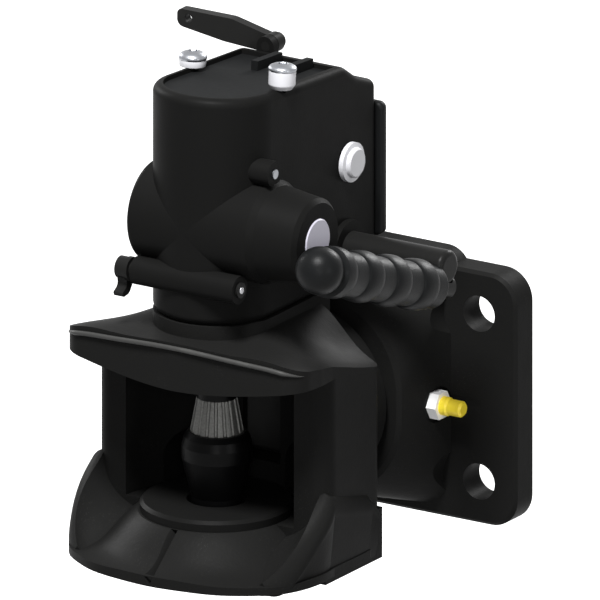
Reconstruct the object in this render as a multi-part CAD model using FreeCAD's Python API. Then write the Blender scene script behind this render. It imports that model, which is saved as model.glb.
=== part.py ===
import FreeCAD
import Part

import math
import os

from FreeCAD import Vector

# Frame: origin in the middle of the flange's mounting face, +Y into the towing vehicle, +Z up,
# +X to the side of the hand lever. The jaw opens towards -Y. All lengths are in millimetres.

# Clearances
RUN = 0.05
GAP = 0.3
FIT = 0.02

# Mounting flange
FLANGE_W = 180.0
FLANGE_H = 120.0
FLANGE_T = 14.0
FLANGE_CORNER_R = 14.0
BOLT_DX = 140.0
BOLT_DZ = 80.0
BOLT_HOLE_R = 8.5
BOLT_SEAT_R = 19.0
EDGE_CHAMFER = 1.5

# Swivel hub on the flange
HUB_LEN = 45.0
SADDLE_HALF_W = 57.0
SADDLE_TOP = 65.0
SADDLE_FLOOR = 57.0
SADDLE_CORNER_R = 12.0
HUB_HALF = 47.0
HUB_CORNER_R = 41.0
NUT_POCKET_R = 34.0
NUT_POCKET_DEPTH = 21.0
BUSH_WALL = 4.0
HUB_LIP_CHAMFER = 1.6

# Swivel shaft of the jaw body
SHAFT_R = 28.0
NECK_R = 42.0
NECK_GAP = 3.0
NECK_LEN = 16.0
THREAD_R = 17.5
NUT_AF = 46.0
NUT_H = 11.0
NUT_SLOT_W = 5.5
NUT_SLOT_D = 4.0
NUT_SLOTS = 6
WASHER_R = 31.0
WASHER_T = 3.0
DISC_SPRING_T = 1.6
DISC_SPRING_RISE = 0.9
COTTER_R = 1.9
COTTER_HEAD = 2.6

# Coupling pin
PIN_AXIS_Y = -125.0
PIN_R = 16.2
PIN_TIP_R = 11.75
PIN_NECK_R = 9.2
PIN_COLLAR_R = 12.2
PIN_TIP_Z = -44.0
PIN_TIP_TOP_Z = -27.0
PIN_BULGE_LOW_Z = -12.0
PIN_BULGE_TOP_Z = 1.0
PIN_NECK_LOW_Z = 3.5
PIN_NECK_HIGH_Z = 19.5
PIN_GUIDE_LOW_Z = 30.0
PIN_GUIDE_TOP_Z = 61.0
PIN_STEM_R = 7.0
PIN_STEM_H = 14.0
PIN_FLUTES = 18
PIN_FLUTE_R = 0.9
PIN_LIFT = 62.0

# Jaw
JAW_HALF_W = 62.0
JAW_REAR = 42.0
JAW_BOTTOM_Z = -58.0
JAW_FLOOR_Z = -34.0
JAW_CEILING_Z = 32.0
JAW_DECK_Z = 59.0
JAW_WALL_FRONT = -6.0
JAW_CAVITY_R = 45.0
JAW_CAVITY_SHIFT = -6.0
LIP_FRONT = -58.0
LIP_HALF_W = 64.0
LIP_DROP = 17.0
LIP_RIM_T = 4.0
LIP_BOTTOM_R = 44.0
VISOR_FRONT = -37.0
VISOR_HALF_W = 63.5
VISOR_RISE = 8.0
VISOR_BOW = 5.0
FLARE_START_R = 36.0
FLARE_END_R = 70.0
VISOR_CORNER_R = 12.0
LIP_GROOVE_W = 5.0
LIP_GROOVE_D = 2.5
CHEEK_HALF_W = 65.0
CHEEK_WALL_X = 58.0
CHEEK_BEVEL = 9.0
CHEEK_SECTIONS = (
    (-40, -51.0, 34, -49.5, 49.5, 52),
    (-33, -49.0, 34, -43.0, 55.0, 58.5),
    (-25, -46.0, 34, -34.5, 58.5, 62.5),
    (-15, -42.0, 36, -25.0, 59.0, 65),
    (-3, -38.0, 40, -15.0, 58.0, 65),
)
CHEEK_REAR_SECTIONS = (
    (-3, -38.0, 48, -15.0, 58.0, 65),
    (29, -38.0, 48, -23.0, 58.0, 65),
    (36, -38.0, 48, -30.0, 58.0, 65),
)
CHEEK_HOLLOW = 4.0
DECK_SECTIONS = (
    (-50, 55, 53.5, 46),
    (-20, 56.5, 53, 45.5),
    (2, 58, 50, 42),
    (26, 58, 45, 36),
    (44, 58, 42, 33),
)
EDGE_R = 2.5
REAR_WINDOW_R = 13.0
REAR_WINDOW_SILL = 1.0
REAR_WINDOW_X = 26.0
REAR_WINDOW_DEPTH = 4.0

# Wear plate and bushes round the pin
WEAR_R = 35.0
WEAR_T = 5.0
WEAR_CHAMFER = 1.5
LOWER_BUSH_WALL = 3.2
UPPER_BUSH_WALL = 4.0
UPPER_BUSH_TOP_Z = 59.0

# Mechanism housing
TOWER_R = 29.0
TOWER_REACH_Y = 90.0
TOWER_INNER_R = 22.0
TOWER_FLOOR_T = 3.0
TOWER_TOP_Z = 163.5
TOWER_TOP_TILT = 4.3
TOWER_EDGE_R = 4.0
TOWER_SLOPE_START = 64.0
TOWER_SLOPE_DROP = 13.5
TOWER_SLOPE_MID_Y = 75.0
TOWER_SLOPE_MID_DROP = 7.5
TOWER_BEVEL_Y = 76.0
TOWER_BEVEL_Z = 10.0
TOWER_ROOF_Y = 60.0
TOWER_ROOF_T = 5.0
TOWER_FOOT_REAR = 50.0
TOWER_FRONT_SPARE = 8.0
TOWER_SPARE_H = 20.0
TOWER_ROOF_EDGE_R = 10.0
TOWER_REAR_EDGE_R = 4.0
REAR_OPENING_MARGIN = 10.0
TOWER_RIM_R = 24.5
LID_T = 4.0
LID_DEPTH = 2.0
LID_RIB_W = 3.5
LID_RIB_Y = 38.0
LID_RIB_H = 4.5
LID_RIB_LEFT_X = -4.0
LID_RIB_RIGHT_X = 12.5
SCREW_X = 26.4
SCREW_LEFT_Y = 21.0
SCREW_RIGHT_Y = 13.0
SCREW_R = 2.0
SCREW_HEAD_R = 6.5
SCREW_HEAD_H = 4.0
SCREW_DEPTH = 12.0
SPACER_R = 6.2
SPACER_H = 8.5
WASHER_H = 2.0
REAR_COVER_T = 5.0
REAR_COVER_TOP_Z = 139.0
REAR_COVER_BOTTOM_Z = 76.0
REAR_SCREW_X = 22.0
REAR_SCREW_INSET = 5.0
REAR_SCREW_LEN = 8.0
REAR_WALL_T = 4.0
REAR_OPENING_HALF = 17.0

# Cross cylinder with the lock plunger
CROSS_Y = -5.0
CROSS_Z = 105.0
CROSS_R = 24.0
CROSS_LEFT_X = -31.0
CROSS_SPLIT_X = 30.0
CROSS_RIGHT_X = 57.0
PLUNGER_HOUSING_R = 19.5
PLUNGER_R = 10.4
PLUNGER_TRAVEL = 6.0
PLUNGER_NOSE_R = 5.0
PLUNGER_HEAD_LEN = 16.0

# Hand lever
LEVER_AXIS_Y = 63.0
LEVER_AXIS_Z = 78.0
LEVER_SHAFT_R = 8.0
LEVER_PLANE_X = 80.0
LEVER_SHAFT_END = 85.0
LEVER_SWING = 59.0
LEVER_TILT = 20.0
LEVER_ROD_R = 5.5
LEVER_OFFSET = 9.0
GRIP_R = 11.6
GRIP_WAIST_R = 9.6
GRIP_RIBS = 5
GRIP_RIB_PITCH = 21.2
GRIP_START = -8.0
ROD_BALL_AT = 98.0
CRANK_W = 7.0
CRANK_HUB_R = 12.0
CRANK_EYE_R = 6.2
CRANK_HUB_HALF = 11.0
CRANK_ARM_H = 9.0
ROLLER_R = 4.2
ROLLER_HALF = 9.0
ROLLER_PLAY = 0.8

# Catch shaft under the side cap
CATCH_Y = 66.0
CATCH_Z = 118.0
CATCH_SHAFT_R = 6.0
CATCH_CAP_R = 9.2
CATCH_CAP_T = 4.5
PAWL_T = 6.0
PAWL_X = 15.0
PAWL_LEN = 22.0

# Hold-open rod with the hook
ROD_Y = -25.0
ROD_Z = 82.0
ROD_R = 3.6
ROD_BOSS_R = 6.6
ROD_LEFT_X = -36.0
ROD_RIGHT_X = 29.0
HOOK_T = 5.0
HOOK_HUB_R = 5.2
HOOK_DROP = 12.0
HOOK_REACH = 5.0

# Small cross pin boss
BOSS_X = 36.0
BOSS_Y = -8.0
BOSS_Z = 134.0
BOSS_R = 6.0
BOSS_PIN_R = 2.2
BOSS_LEN = 20.0

# Remote lever on the top
REMOTE_Y = 70.0
REMOTE_X = -14.0
REMOTE_Z = 166.0
REMOTE_LEN = 50.0
REMOTE_T = 5.0
REMOTE_H = 8.0
REMOTE_HUB_R = 4.6
REMOTE_EAR_T = 4.0
REMOTE_EAR_GAP = 0.5
REMOTE_PIN_R = 2.2
REMOTE_BEND_X = -35.0
REMOTE_TIP_Z = 170.3
REMOTE_BELLY = 3.5
REMOTE_SWING = 24.0

# Trigger paddle at the back of the jaw
TRIGGER_Y = 43.0
TRIGGER_Z = 22.0
TRIGGER_R = 4.0
TRIGGER_PIN_R = 2.0
TRIGGER_PIN_HALF = 16.0
TRIGGER_SWEEP = 10.0
TRIGGER_HALF_W = 9.0
TRIGGER_LEN = 40.0
TRIGGER_T = 6.0
TRIGGER_SWING = 9.0

# Grease fitting on the hub
GREASE_Y = -22.0
GREASE_Z = -4.0
GREASE_SEAT_D = 2.0
GREASE_HEX_AF = 12.0
GREASE_HEX_H = 5.0
GREASE_CAP_R = 4.4
GREASE_CAP_LEN = 11.0
GREASE_STEM_R = 2.6

# Closing spring above the pin
SPRING_WIRE_R = 1.6
SPRING_R = 11.0
SPRING_TURNS = 6
SPRING_TOP_Z = 157.0
SPRING_STEPS = 16
SPRING_SIDES = 8

# Indicator plug in the roof of the jaw
PLUG_X = 22.0
PLUG_Y = -17.0
PLUG_R = 2.5
PLUG_LEN = 7.0
PLUG_PROUD = 1.0


def box(x0, x1, y0, y1, z0, z1):
    return Part.makeBox(x1 - x0, y1 - y0, z1 - z0, Vector(x0, y0, z0))


def cyl_x(radius, x0, x1, y, z):
    return Part.makeCylinder(radius, x1 - x0, Vector(x0, y, z), Vector(1, 0, 0))


def cyl_y(radius, y0, y1, x=0.0, z=0.0):
    return Part.makeCylinder(radius, y1 - y0, Vector(x, y0, z), Vector(0, 1, 0))


def cyl_z(radius, z0, z1, x=0.0, y=0.0):
    return Part.makeCylinder(radius, z1 - z0, Vector(x, y, z0), Vector(0, 0, 1))


def turned_z(profile, y):
    """A solid turned about the upright line through (0, y): profile is (radius, z) pairs."""
    points = [Vector(r, y, z) for r, z in profile]
    face = Part.Face(Part.makePolygon(points + [points[0]]))
    return face.revolve(Vector(0, y, 0), Vector(0, 0, 1), 360)


def turned_y(profile):
    """A solid turned about the swivel axis: profile is (radius, y) pairs."""
    points = [Vector(r, y, 0) for r, y in profile]
    face = Part.Face(Part.makePolygon(points + [points[0]]))
    return face.revolve(Vector(0, 0, 0), Vector(0, 1, 0), 360)


def turned_x(profile, y, z):
    """A solid turned about the cross line through (y, z): profile is (radius, x) pairs."""
    points = [Vector(x, y + r, z) for r, x in profile]
    face = Part.Face(Part.makePolygon(points + [points[0]]))
    return face.revolve(Vector(0, y, z), Vector(1, 0, 0), 360)


def rounded_wire(points, radii, to_vector):
    """A closed outline with each corner rounded by its own radius."""
    count = len(points)
    edges = []
    starts = []
    ends = []
    mids = []
    for index, (point, radius) in enumerate(zip(points, radii)):
        before = Vector(*points[index - 1], 0)
        here = Vector(*point, 0)
        after = Vector(*points[(index + 1) % count], 0)
        back = (before - here).normalize()
        ahead = (after - here).normalize()
        half = 0.5 * back.getAngle(ahead)
        reach = radius / math.tan(half)
        inward = (back + ahead).normalize()
        centre = here + inward * (radius / math.sin(half))
        starts.append(here + back * reach)
        ends.append(here + ahead * reach)
        mids.append(centre - inward * radius)
    for index in range(count):
        if radii[index] > 0:
            arc = Part.Arc(to_vector(starts[index]), to_vector(mids[index]), to_vector(ends[index]))
            edges.append(arc.toShape())
        following = (index + 1) % count
        if (starts[following] - ends[index]).Length > 1e-6:
            edges.append(Part.LineSegment(to_vector(ends[index]), to_vector(starts[following])).toShape())
    return Part.Wire(edges)


def plan_prism(points, radii, z0, z1):
    """An upright prism on a rounded plan outline."""
    wire = rounded_wire(points, radii, lambda v: Vector(v.x, v.y, z0))
    return Part.Face(wire).extrude(Vector(0, 0, z1 - z0))


def side_prism(points, radii, x0, x1):
    """A prism across the part on a rounded side outline of (y, z) points."""
    wire = rounded_wire(points, radii, lambda v: Vector(x0, v.x, v.y))
    return Part.Face(wire).extrude(Vector(x1 - x0, 0, 0))


def front_wire(half_w, bottom, top, radius, y):
    """A rounded rectangle in a plane across the swivel axis."""
    points = [(-half_w, bottom), (half_w, bottom), (half_w, top), (-half_w, top)]
    return rounded_wire(points, [radius] * 4, lambda v: Vector(v.x, y, v.y))


def hex_prism_x(across_flats, x0, x1, y, z):
    reach = across_flats / math.sqrt(3)
    points = []
    for corner in range(6):
        angle = math.radians(60 * corner)
        points.append(Vector(x0, y + reach * math.cos(angle), z + reach * math.sin(angle)))
    face = Part.Face(Part.makePolygon(points + [points[0]]))
    return face.extrude(Vector(x1 - x0, 0, 0))


def moved(shape, dx=0.0, dy=0.0, dz=0.0):
    copy = shape.copy()
    copy.translate(Vector(dx, dy, dz))
    return copy


def edges_at(shape, test):
    return [edge for edge in shape.Edges if test(edge)]


def flange_plate():
    """Bolting flange with its saddle, swivel hub, bolt seats and nut pocket."""
    half_w = FLANGE_W / 2
    half_h = FLANGE_H / 2
    corners = [(-half_w, -half_h), (half_w, -half_h), (half_w, half_h), (-half_w, half_h)]
    wire = rounded_wire(corners, [FLANGE_CORNER_R] * 4, lambda v: Vector(v.x, 0, v.y))
    plate = Part.Face(wire).extrude(Vector(0, -FLANGE_T, 0))
    front = edges_at(plate, lambda e: abs(e.BoundBox.YMax + FLANGE_T) < 1e-3)
    plate = plate.makeChamfer(EDGE_CHAMFER, front)
    root = front_wire(SADDLE_HALF_W, -SADDLE_FLOOR, SADDLE_TOP, SADDLE_CORNER_R, -FLANGE_T / 2)
    nose = front_wire(HUB_HALF, -HUB_HALF, HUB_HALF, HUB_CORNER_R, -HUB_LEN)
    saddle = Part.makeLoft([root, nose], True)
    lip = edges_at(saddle, lambda e: abs(e.BoundBox.YMax + HUB_LEN) < 1e-3)
    saddle = saddle.makeChamfer(HUB_LIP_CHAMFER, lip)
    base = front_wire(SADDLE_HALF_W, -SADDLE_FLOOR, SADDLE_TOP, SADDLE_CORNER_R, 0)
    pad = Part.Face(base).extrude(Vector(0, -FLANGE_T / 2, 0))
    solid = plate.fuse([saddle, pad])
    for sx in (-1, 1):
        for sz in (-1, 1):
            x = sx * BOLT_DX / 2
            z = sz * BOLT_DZ / 2
            solid = solid.cut(cyl_y(BOLT_SEAT_R, -HUB_LEN - 1, -FLANGE_T, x, z))
            solid = solid.cut(cyl_y(BOLT_HOLE_R, -FLANGE_T - 1, 1, x, z))
    solid = solid.cut(cyl_y(NUT_POCKET_R, -NUT_POCKET_DEPTH, 1))
    solid = solid.cut(cyl_y(SHAFT_R + RUN + BUSH_WALL, -HUB_LEN - 1, 0))
    return solid.cut(grease_seat_hole())


def grease_seat_hole():
    x1 = hub_side_x() + 20
    hole = cyl_x(GREASE_STEM_R + FIT, SHAFT_R + BUSH_WALL, x1, GREASE_Y, GREASE_Z)
    return hole.fuse(cyl_x(GREASE_HEX_AF / 2 + 2.5, hub_side_x(), x1, GREASE_Y, GREASE_Z))


def hub_side_x():
    """Half width of the hub's side where the grease fitting sits."""
    share = (GREASE_Y + FLANGE_T / 2) / (-HUB_LEN + FLANGE_T / 2)
    return SADDLE_HALF_W + (HUB_HALF - SADDLE_HALF_W) * share - GREASE_SEAT_D


def swivel_bush():
    inner = SHAFT_R + RUN
    tube = cyl_y(inner + BUSH_WALL, -HUB_LEN, -NUT_POCKET_DEPTH)
    return tube.cut(cyl_y(inner, -HUB_LEN - 1, 0))


def thrust_washer():
    y1 = -NUT_POCKET_DEPTH + WASHER_T
    ring = cyl_y(WASHER_R, -NUT_POCKET_DEPTH, y1)
    return ring.cut(cyl_y(THREAD_R + GAP, -NUT_POCKET_DEPTH - 1, y1 + 1))


def disc_spring():
    """A coned spring washer that holds the swivel firm."""
    low = -NUT_POCKET_DEPTH + WASHER_T
    inner = THREAD_R + GAP
    outer = WASHER_R - 3
    profile = [
        (inner, low + DISC_SPRING_RISE),
        (outer, low),
        (outer, low + DISC_SPRING_T),
        (inner, low + DISC_SPRING_RISE + DISC_SPRING_T),
    ]
    return turned_y(profile)


def nut_base_y():
    return -NUT_POCKET_DEPTH + WASHER_T + DISC_SPRING_RISE + DISC_SPRING_T


def castle_nut():
    y0 = nut_base_y()
    reach = NUT_AF / math.sqrt(3)
    points = []
    for corner in range(6):
        angle = math.radians(60 * corner)
        points.append(Vector(reach * math.cos(angle), y0, reach * math.sin(angle)))
    nut = Part.Face(Part.makePolygon(points + [points[0]])).extrude(Vector(0, NUT_H, 0))
    crown = turned_y([(0, y0), (NUT_AF / 2 - 1, y0), (reach, y0 + 2), (reach, y0 + 6),
                      (NUT_AF / 2 - 2, y0 + NUT_H), (0, y0 + NUT_H)])
    nut = nut.common(crown)
    slot = box(0, reach + 1, y0 + NUT_H - NUT_SLOT_D, y0 + NUT_H + 1, -NUT_SLOT_W / 2, NUT_SLOT_W / 2)
    for index in range(NUT_SLOTS):
        cutter = slot.copy()
        cutter.rotate(Vector(0, 0, 0), Vector(0, 1, 0), index * 360 / NUT_SLOTS)
        nut = nut.cut(cutter)
    return nut.cut(cyl_y(THREAD_R, y0 - 1, 1))


def cotter_pin():
    """Split pin through the shaft's threaded end, bent over in the nut's slots."""
    y = nut_base_y() + NUT_H - NUT_SLOT_D / 2
    reach = NUT_AF / math.sqrt(3) + 1
    pin = cyl_x(COTTER_R, -reach, reach, y, 0)
    head = Part.makeSphere(COTTER_HEAD, Vector(-reach, y, 0))
    head = head.common(box(-reach - COTTER_HEAD, -reach + COTTER_HEAD, y - COTTER_R, y + COTTER_R,
                           -COTTER_HEAD, COTTER_HEAD))
    return pin.fuse(head)


def grease_fitting():
    side = hub_side_x()
    hexagon = hex_prism_x(GREASE_HEX_AF, side, side + GREASE_HEX_H, GREASE_Y, GREASE_Z)
    stem = cyl_x(GREASE_STEM_R, SHAFT_R + BUSH_WALL + 2, side + GREASE_HEX_H + 5, GREASE_Y, GREASE_Z)
    return hexagon.fuse(stem)


def grease_cap():
    x0 = hub_side_x() + GREASE_HEX_H
    x1 = x0 + GREASE_CAP_LEN
    profile = [(0, x0), (GREASE_CAP_R, x0), (GREASE_CAP_R, x0 + 3), (GREASE_CAP_R - 0.6, x0 + 4),
               (GREASE_CAP_R - 0.6, x1 - 1), (GREASE_CAP_R - 1.6, x1), (0, x1)]
    cap = turned_x(profile, GREASE_Y, GREASE_Z)
    return cap.cut(cyl_x(GREASE_STEM_R, x0 - 1, x0 + 5, GREASE_Y, GREASE_Z))


def neck_seal():
    """Rubber ring that closes the gap between the neck and the hub."""
    y0 = -HUB_LEN - NECK_GAP + GAP
    y1 = -HUB_LEN - GAP
    ring = cyl_y(NECK_R - 3, y0, y1)
    return ring.cut(cyl_y(SHAFT_R + 2, y0 - 1, y1 + 1))


def lip_outline(z0, z1):
    """Plan outline of the lower lip: straight sides that run out into a duck-bill front."""
    w = LIP_HALF_W
    front = LIP_FRONT
    half = [(0.0, front), (0.27 * w, 0.97 * front), (0.52 * w, 0.905 * front), (0.71 * w, 0.79 * front),
            (0.87 * w, 0.64 * front), (0.96 * w, 0.46 * front), (w, 0.22 * front), (0.985 * w, 0.0)]
    points = [Vector(-x, PIN_AXIS_Y + y, z0) for x, y in reversed(half[1:])]
    points += [Vector(x, PIN_AXIS_Y + y, z0) for x, y in half]
    bill = Part.BSplineCurve()
    bill.interpolate(points)
    rear = PIN_AXIS_Y + JAW_REAR
    left = Vector(points[0].x, rear, z0)
    right = Vector(points[-1].x, rear, z0)
    edges = [bill.toShape()]
    for begin, end in ((points[-1], right), (right, left), (left, points[0])):
        edges.append(Part.LineSegment(begin, end).toShape())
    return Part.Face(Part.Wire(edges)).extrude(Vector(0, 0, z1 - z0))


def lower_jaw():
    """Lower lip: a dished plate that falls away to a thin rim, and swept cheeks at the walls."""
    rim_z = JAW_FLOOR_Z - LIP_DROP
    span = FLARE_END_R - FLARE_START_R
    top = [Vector(FLARE_START_R + span * share, PIN_AXIS_Y, JAW_FLOOR_Z - LIP_DROP * fall)
           for share, fall in ((0, 0), (0.25, 0.42), (0.5, 0.82), (0.66, 0.95), (1, 1))]
    dish_curve = Part.BSplineCurve()
    dish_curve.interpolate(top)
    corners = [top[-1], Vector(FLARE_END_R, PIN_AXIS_Y, rim_z - LIP_RIM_T),
               Vector(FLARE_START_R + 0.6 * span, PIN_AXIS_Y, rim_z - LIP_RIM_T),
               Vector(LIP_BOTTOM_R, PIN_AXIS_Y, JAW_BOTTOM_Z), Vector(0, PIN_AXIS_Y, JAW_BOTTOM_Z),
               Vector(0, PIN_AXIS_Y, JAW_FLOOR_Z), top[0]]
    edges = [dish_curve.toShape()]
    for begin, end in zip(corners, corners[1:]):
        edges.append(Part.LineSegment(begin, end).toShape())
    dish = Part.Face(Part.Wire(edges)).revolve(Vector(0, PIN_AXIS_Y, 0), Vector(0, 0, 1), 360)
    rear = box(-JAW_HALF_W, JAW_HALF_W, PIN_AXIS_Y + JAW_WALL_FRONT, PIN_AXIS_Y + JAW_REAR,
               JAW_BOTTOM_Z, JAW_FLOOR_Z)
    solid = dish.fuse(rear).common(lip_outline(JAW_BOTTOM_Z - 1, JAW_FLOOR_Z + 1))
    slope = LIP_DROP / (0.62 * span)
    groove = Part.makePolygon([
        Vector(-LIP_GROOVE_W / 2, 0, 1),
        Vector(LIP_GROOVE_W / 2, 0, 1),
        Vector(0, 0, -LIP_GROOVE_D),
        Vector(-LIP_GROOVE_W / 2, 0, 1),
    ])
    cutter = Part.Face(groove).extrude(Vector(0, -40, 0))
    cutter.rotate(Vector(0, 0, 0), Vector(1, 0, 0), math.degrees(math.atan(slope)))
    cutter.translate(Vector(0, PIN_AXIS_Y - FLARE_START_R, JAW_FLOOR_Z))
    return solid.cut(cutter).fuse([jaw_cheek(-1), jaw_cheek(1)])


def jaw_cheek(side):
    """Scooped shoulder that rises from the lip to the side wall, with a rounded outer top."""
    front = Part.makeLoft([cheek_section(side, *sizes) for sizes in CHEEK_SECTIONS], True, False)
    rear = Part.makeLoft([cheek_section(side, *sizes) for sizes in CHEEK_REAR_SECTIONS], True, True)
    return front.fuse(rear)


def cheek_section(side, y, floor_z, inner, top, crown_x, outer):
    """Outline across one cheek: foot, hip, rounded crown, then a hollow down to the lip's floor."""
    low = JAW_BOTTOM_Z + 2
    shoulder = max(top - CHEEK_BEVEL - 2, low + 1)
    places = [(inner, low), (outer - 3, low), (outer, shoulder), (outer - 1.2, (shoulder + 2 * top) / 3),
              (crown_x, top), (inner, floor_z),
              ((inner + crown_x) / 2 + CHEEK_HOLLOW, (floor_z + top) / 2 - CHEEK_HOLLOW / 2)]
    points = [Vector(side * x, PIN_AXIS_Y + y, z) for x, z in places]
    corner, foot, hip, bend, crown, inner_top, hollow = points
    return Part.Wire([
        Part.LineSegment(corner, foot).toShape(),
        Part.LineSegment(foot, hip).toShape(),
        Part.Arc(hip, bend, crown).toShape(),
        Part.Arc(crown, hollow, inner_top).toShape(),
        Part.LineSegment(inner_top, corner).toShape(),
    ])


def deck_envelope():
    """Everything below the jaw's roof, whose surface falls to both sides and to the rear."""
    reach = CHEEK_HALF_W + 5
    sections = []
    for y, centre, middle, side in DECK_SECTIONS:
        heights = [(-reach, side), (-46, middle), (-30, centre - 1.5), (0, centre), (30, centre - 1.5),
                   (46, middle), (reach, side)]
        points = [Vector(x, PIN_AXIS_Y + y, z) for x, z in heights]
        roof = Part.BSplineCurve()
        roof.interpolate(points)
        low_left = Vector(-reach, PIN_AXIS_Y + y, JAW_BOTTOM_Z - 5)
        low_right = Vector(reach, PIN_AXIS_Y + y, JAW_BOTTOM_Z - 5)
        edges = [roof.toShape()]
        for begin, end in ((points[-1], low_right), (low_right, low_left), (low_left, points[0])):
            edges.append(Part.LineSegment(begin, end).toShape())
        sections.append(Part.Wire(edges))
    return Part.makeLoft(sections, True)


def upper_jaw():
    """Upper lip: a thick visor with a flared underside and round noses at both tips."""
    rear = PIN_AXIS_Y + JAW_REAR
    nose = PIN_AXIS_Y + VISOR_FRONT
    w = VISOR_HALF_W
    points = [(-JAW_HALF_W, rear), (-JAW_HALF_W, PIN_AXIS_Y), (-w, PIN_AXIS_Y - 12), (-w, nose + VISOR_BOW),
              (0, nose), (w, nose + VISOR_BOW), (w, PIN_AXIS_Y - 12), (JAW_HALF_W, PIN_AXIS_Y),
              (JAW_HALF_W, rear)]
    radii = [6, 8, 8, VISOR_CORNER_R, 60, VISOR_CORNER_R, 8, 8, 6]
    outline = plan_prism(points, radii, JAW_CEILING_Z - 1, JAW_DECK_Z + 1)
    profile = [(0, JAW_CEILING_Z), (FLARE_START_R, JAW_CEILING_Z), (FLARE_END_R, JAW_CEILING_Z + VISOR_RISE),
               (FLARE_END_R + 12, JAW_CEILING_Z + VISOR_RISE), (FLARE_END_R + 12, JAW_DECK_Z),
               (0, JAW_DECK_Z)]
    visor = turned_z(profile, PIN_AXIS_Y).common(outline)
    return visor.fuse(jaw_walls()).common(deck_envelope())


def jaw_walls():
    """Side and rear walls between the lips, hollowed by a round cavity."""
    y0 = PIN_AXIS_Y + JAW_WALL_FRONT
    y1 = PIN_AXIS_Y + JAW_REAR
    points = [(-JAW_HALF_W, y0), (JAW_HALF_W, y0), (JAW_HALF_W, y1), (-JAW_HALF_W, y1)]
    block = plan_prism(points, [9, 9, 6, 6], JAW_FLOOR_Z, JAW_CEILING_Z + 8)
    middle_y = PIN_AXIS_Y + JAW_CAVITY_SHIFT
    cavity = cyl_z(JAW_CAVITY_R, JAW_FLOOR_Z, JAW_CEILING_Z, 0, middle_y)
    mouth = box(-JAW_CAVITY_R, JAW_CAVITY_R, y0 - 1, middle_y, JAW_FLOOR_Z, JAW_CEILING_Z)
    return block.cut(cavity).cut(mouth)


def jaw_neck():
    """Throat from the square jaw to the round neck, then the swivel shaft with its thread."""
    y_jaw = PIN_AXIS_Y + JAW_REAR - 2
    y_neck = -HUB_LEN - NECK_GAP - NECK_LEN
    y_face = -HUB_LEN - NECK_GAP
    block = front_wire(JAW_HALF_W - 1.5, JAW_BOTTOM_Z + 2, JAW_CEILING_Z, 14, y_jaw)
    ring = front_wire(NECK_R, -NECK_R, NECK_R, NECK_R - 0.5, y_neck)
    throat = Part.makeLoft([block, ring], True)
    neck = cyl_y(NECK_R, y_neck, y_face)
    shaft = cyl_y(SHAFT_R, y_face - 2, -NUT_POCKET_DEPTH)
    thread = cyl_y(THREAD_R, -NUT_POCKET_DEPTH - 1, nut_base_y() + NUT_H + 1.5)
    hole = cyl_x(COTTER_R, -THREAD_R - 1, THREAD_R + 1, nut_base_y() + NUT_H - NUT_SLOT_D / 2, 0)
    return throat.fuse([neck, shaft, thread]).cut(hole)


def jaw_body():
    """One casting: both lips, walls, column foot, throat and swivel shaft."""
    foot_rear = PIN_AXIS_Y + TOWER_FOOT_REAR
    foot = cyl_z(TOWER_R, JAW_CEILING_Z + 6, JAW_DECK_Z + 3, 0, PIN_AXIS_Y)
    foot = foot.fuse(box(-TOWER_R, TOWER_R, PIN_AXIS_Y, foot_rear, JAW_CEILING_Z + 6, JAW_DECK_Z + 3))
    body = lower_jaw().fuse([upper_jaw(), jaw_neck(), foot])
    bush_r = PIN_R + RUN + UPPER_BUSH_WALL
    body = body.cut(cyl_z(bush_r, JAW_CEILING_Z - 1, JAW_DECK_Z + 4, 0, PIN_AXIS_Y))
    slot_half = CRANK_W / 2 + 2
    body = body.cut(box(-slot_half, slot_half, PIN_AXIS_Y, foot_rear - 5, JAW_CEILING_Z + 6, JAW_DECK_Z + 4))
    socket_r = PIN_TIP_R + RUN + LOWER_BUSH_WALL
    body = body.cut(cyl_z(socket_r, JAW_BOTTOM_Z - 1, JAW_FLOOR_Z + 1, 0, PIN_AXIS_Y))
    body = body.cut(trigger_pocket())
    plug_top = JAW_CEILING_Z - PLUG_PROUD + PLUG_LEN
    body = body.cut(cyl_z(PLUG_R + FIT, JAW_CEILING_Z - 2, plug_top, PLUG_X, PIN_AXIS_Y + PLUG_Y))
    for side in (-1, 1):
        body = body.cut(rear_window(side * REAR_WINDOW_X))
    return body


def rear_window(x):
    """Arched recess low in the jaw's back wall, beside the pin."""
    y0 = PIN_AXIS_Y + 10
    y1 = PIN_AXIS_Y + JAW_REAR + REAR_WINDOW_DEPTH
    sill_z = JAW_FLOOR_Z + REAR_WINDOW_SILL
    centre_z = sill_z + REAR_WINDOW_R
    arch = cyl_y(REAR_WINDOW_R, y0, y1, x, centre_z)
    return arch.fuse(box(x - REAR_WINDOW_R, x + REAR_WINDOW_R, y0, y1, sill_z, centre_z)).removeSplitter()


def trigger_pocket():
    """Slot in the rear wall where the trigger paddle hangs."""
    half = TRIGGER_HALF_W + 1
    y_back = PIN_AXIS_Y + TRIGGER_Y + TRIGGER_SWEEP
    pocket = box(-half, half, PIN_AXIS_Y + 20, y_back, TRIGGER_Z - TRIGGER_LEN - 4, TRIGGER_Z + 7)
    reach = TRIGGER_PIN_HALF + 0.2
    return pocket.fuse(cyl_x(TRIGGER_PIN_R + FIT, -reach, reach, PIN_AXIS_Y + TRIGGER_Y, TRIGGER_Z))


def wear_plate():
    z1 = JAW_FLOOR_Z + WEAR_T
    profile = [(PIN_TIP_R + 2, JAW_FLOOR_Z), (WEAR_R, JAW_FLOOR_Z), (WEAR_R, z1 - WEAR_CHAMFER),
               (WEAR_R - WEAR_CHAMFER, z1), (PIN_TIP_R + 2, z1)]
    return turned_z(profile, PIN_AXIS_Y)


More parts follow.
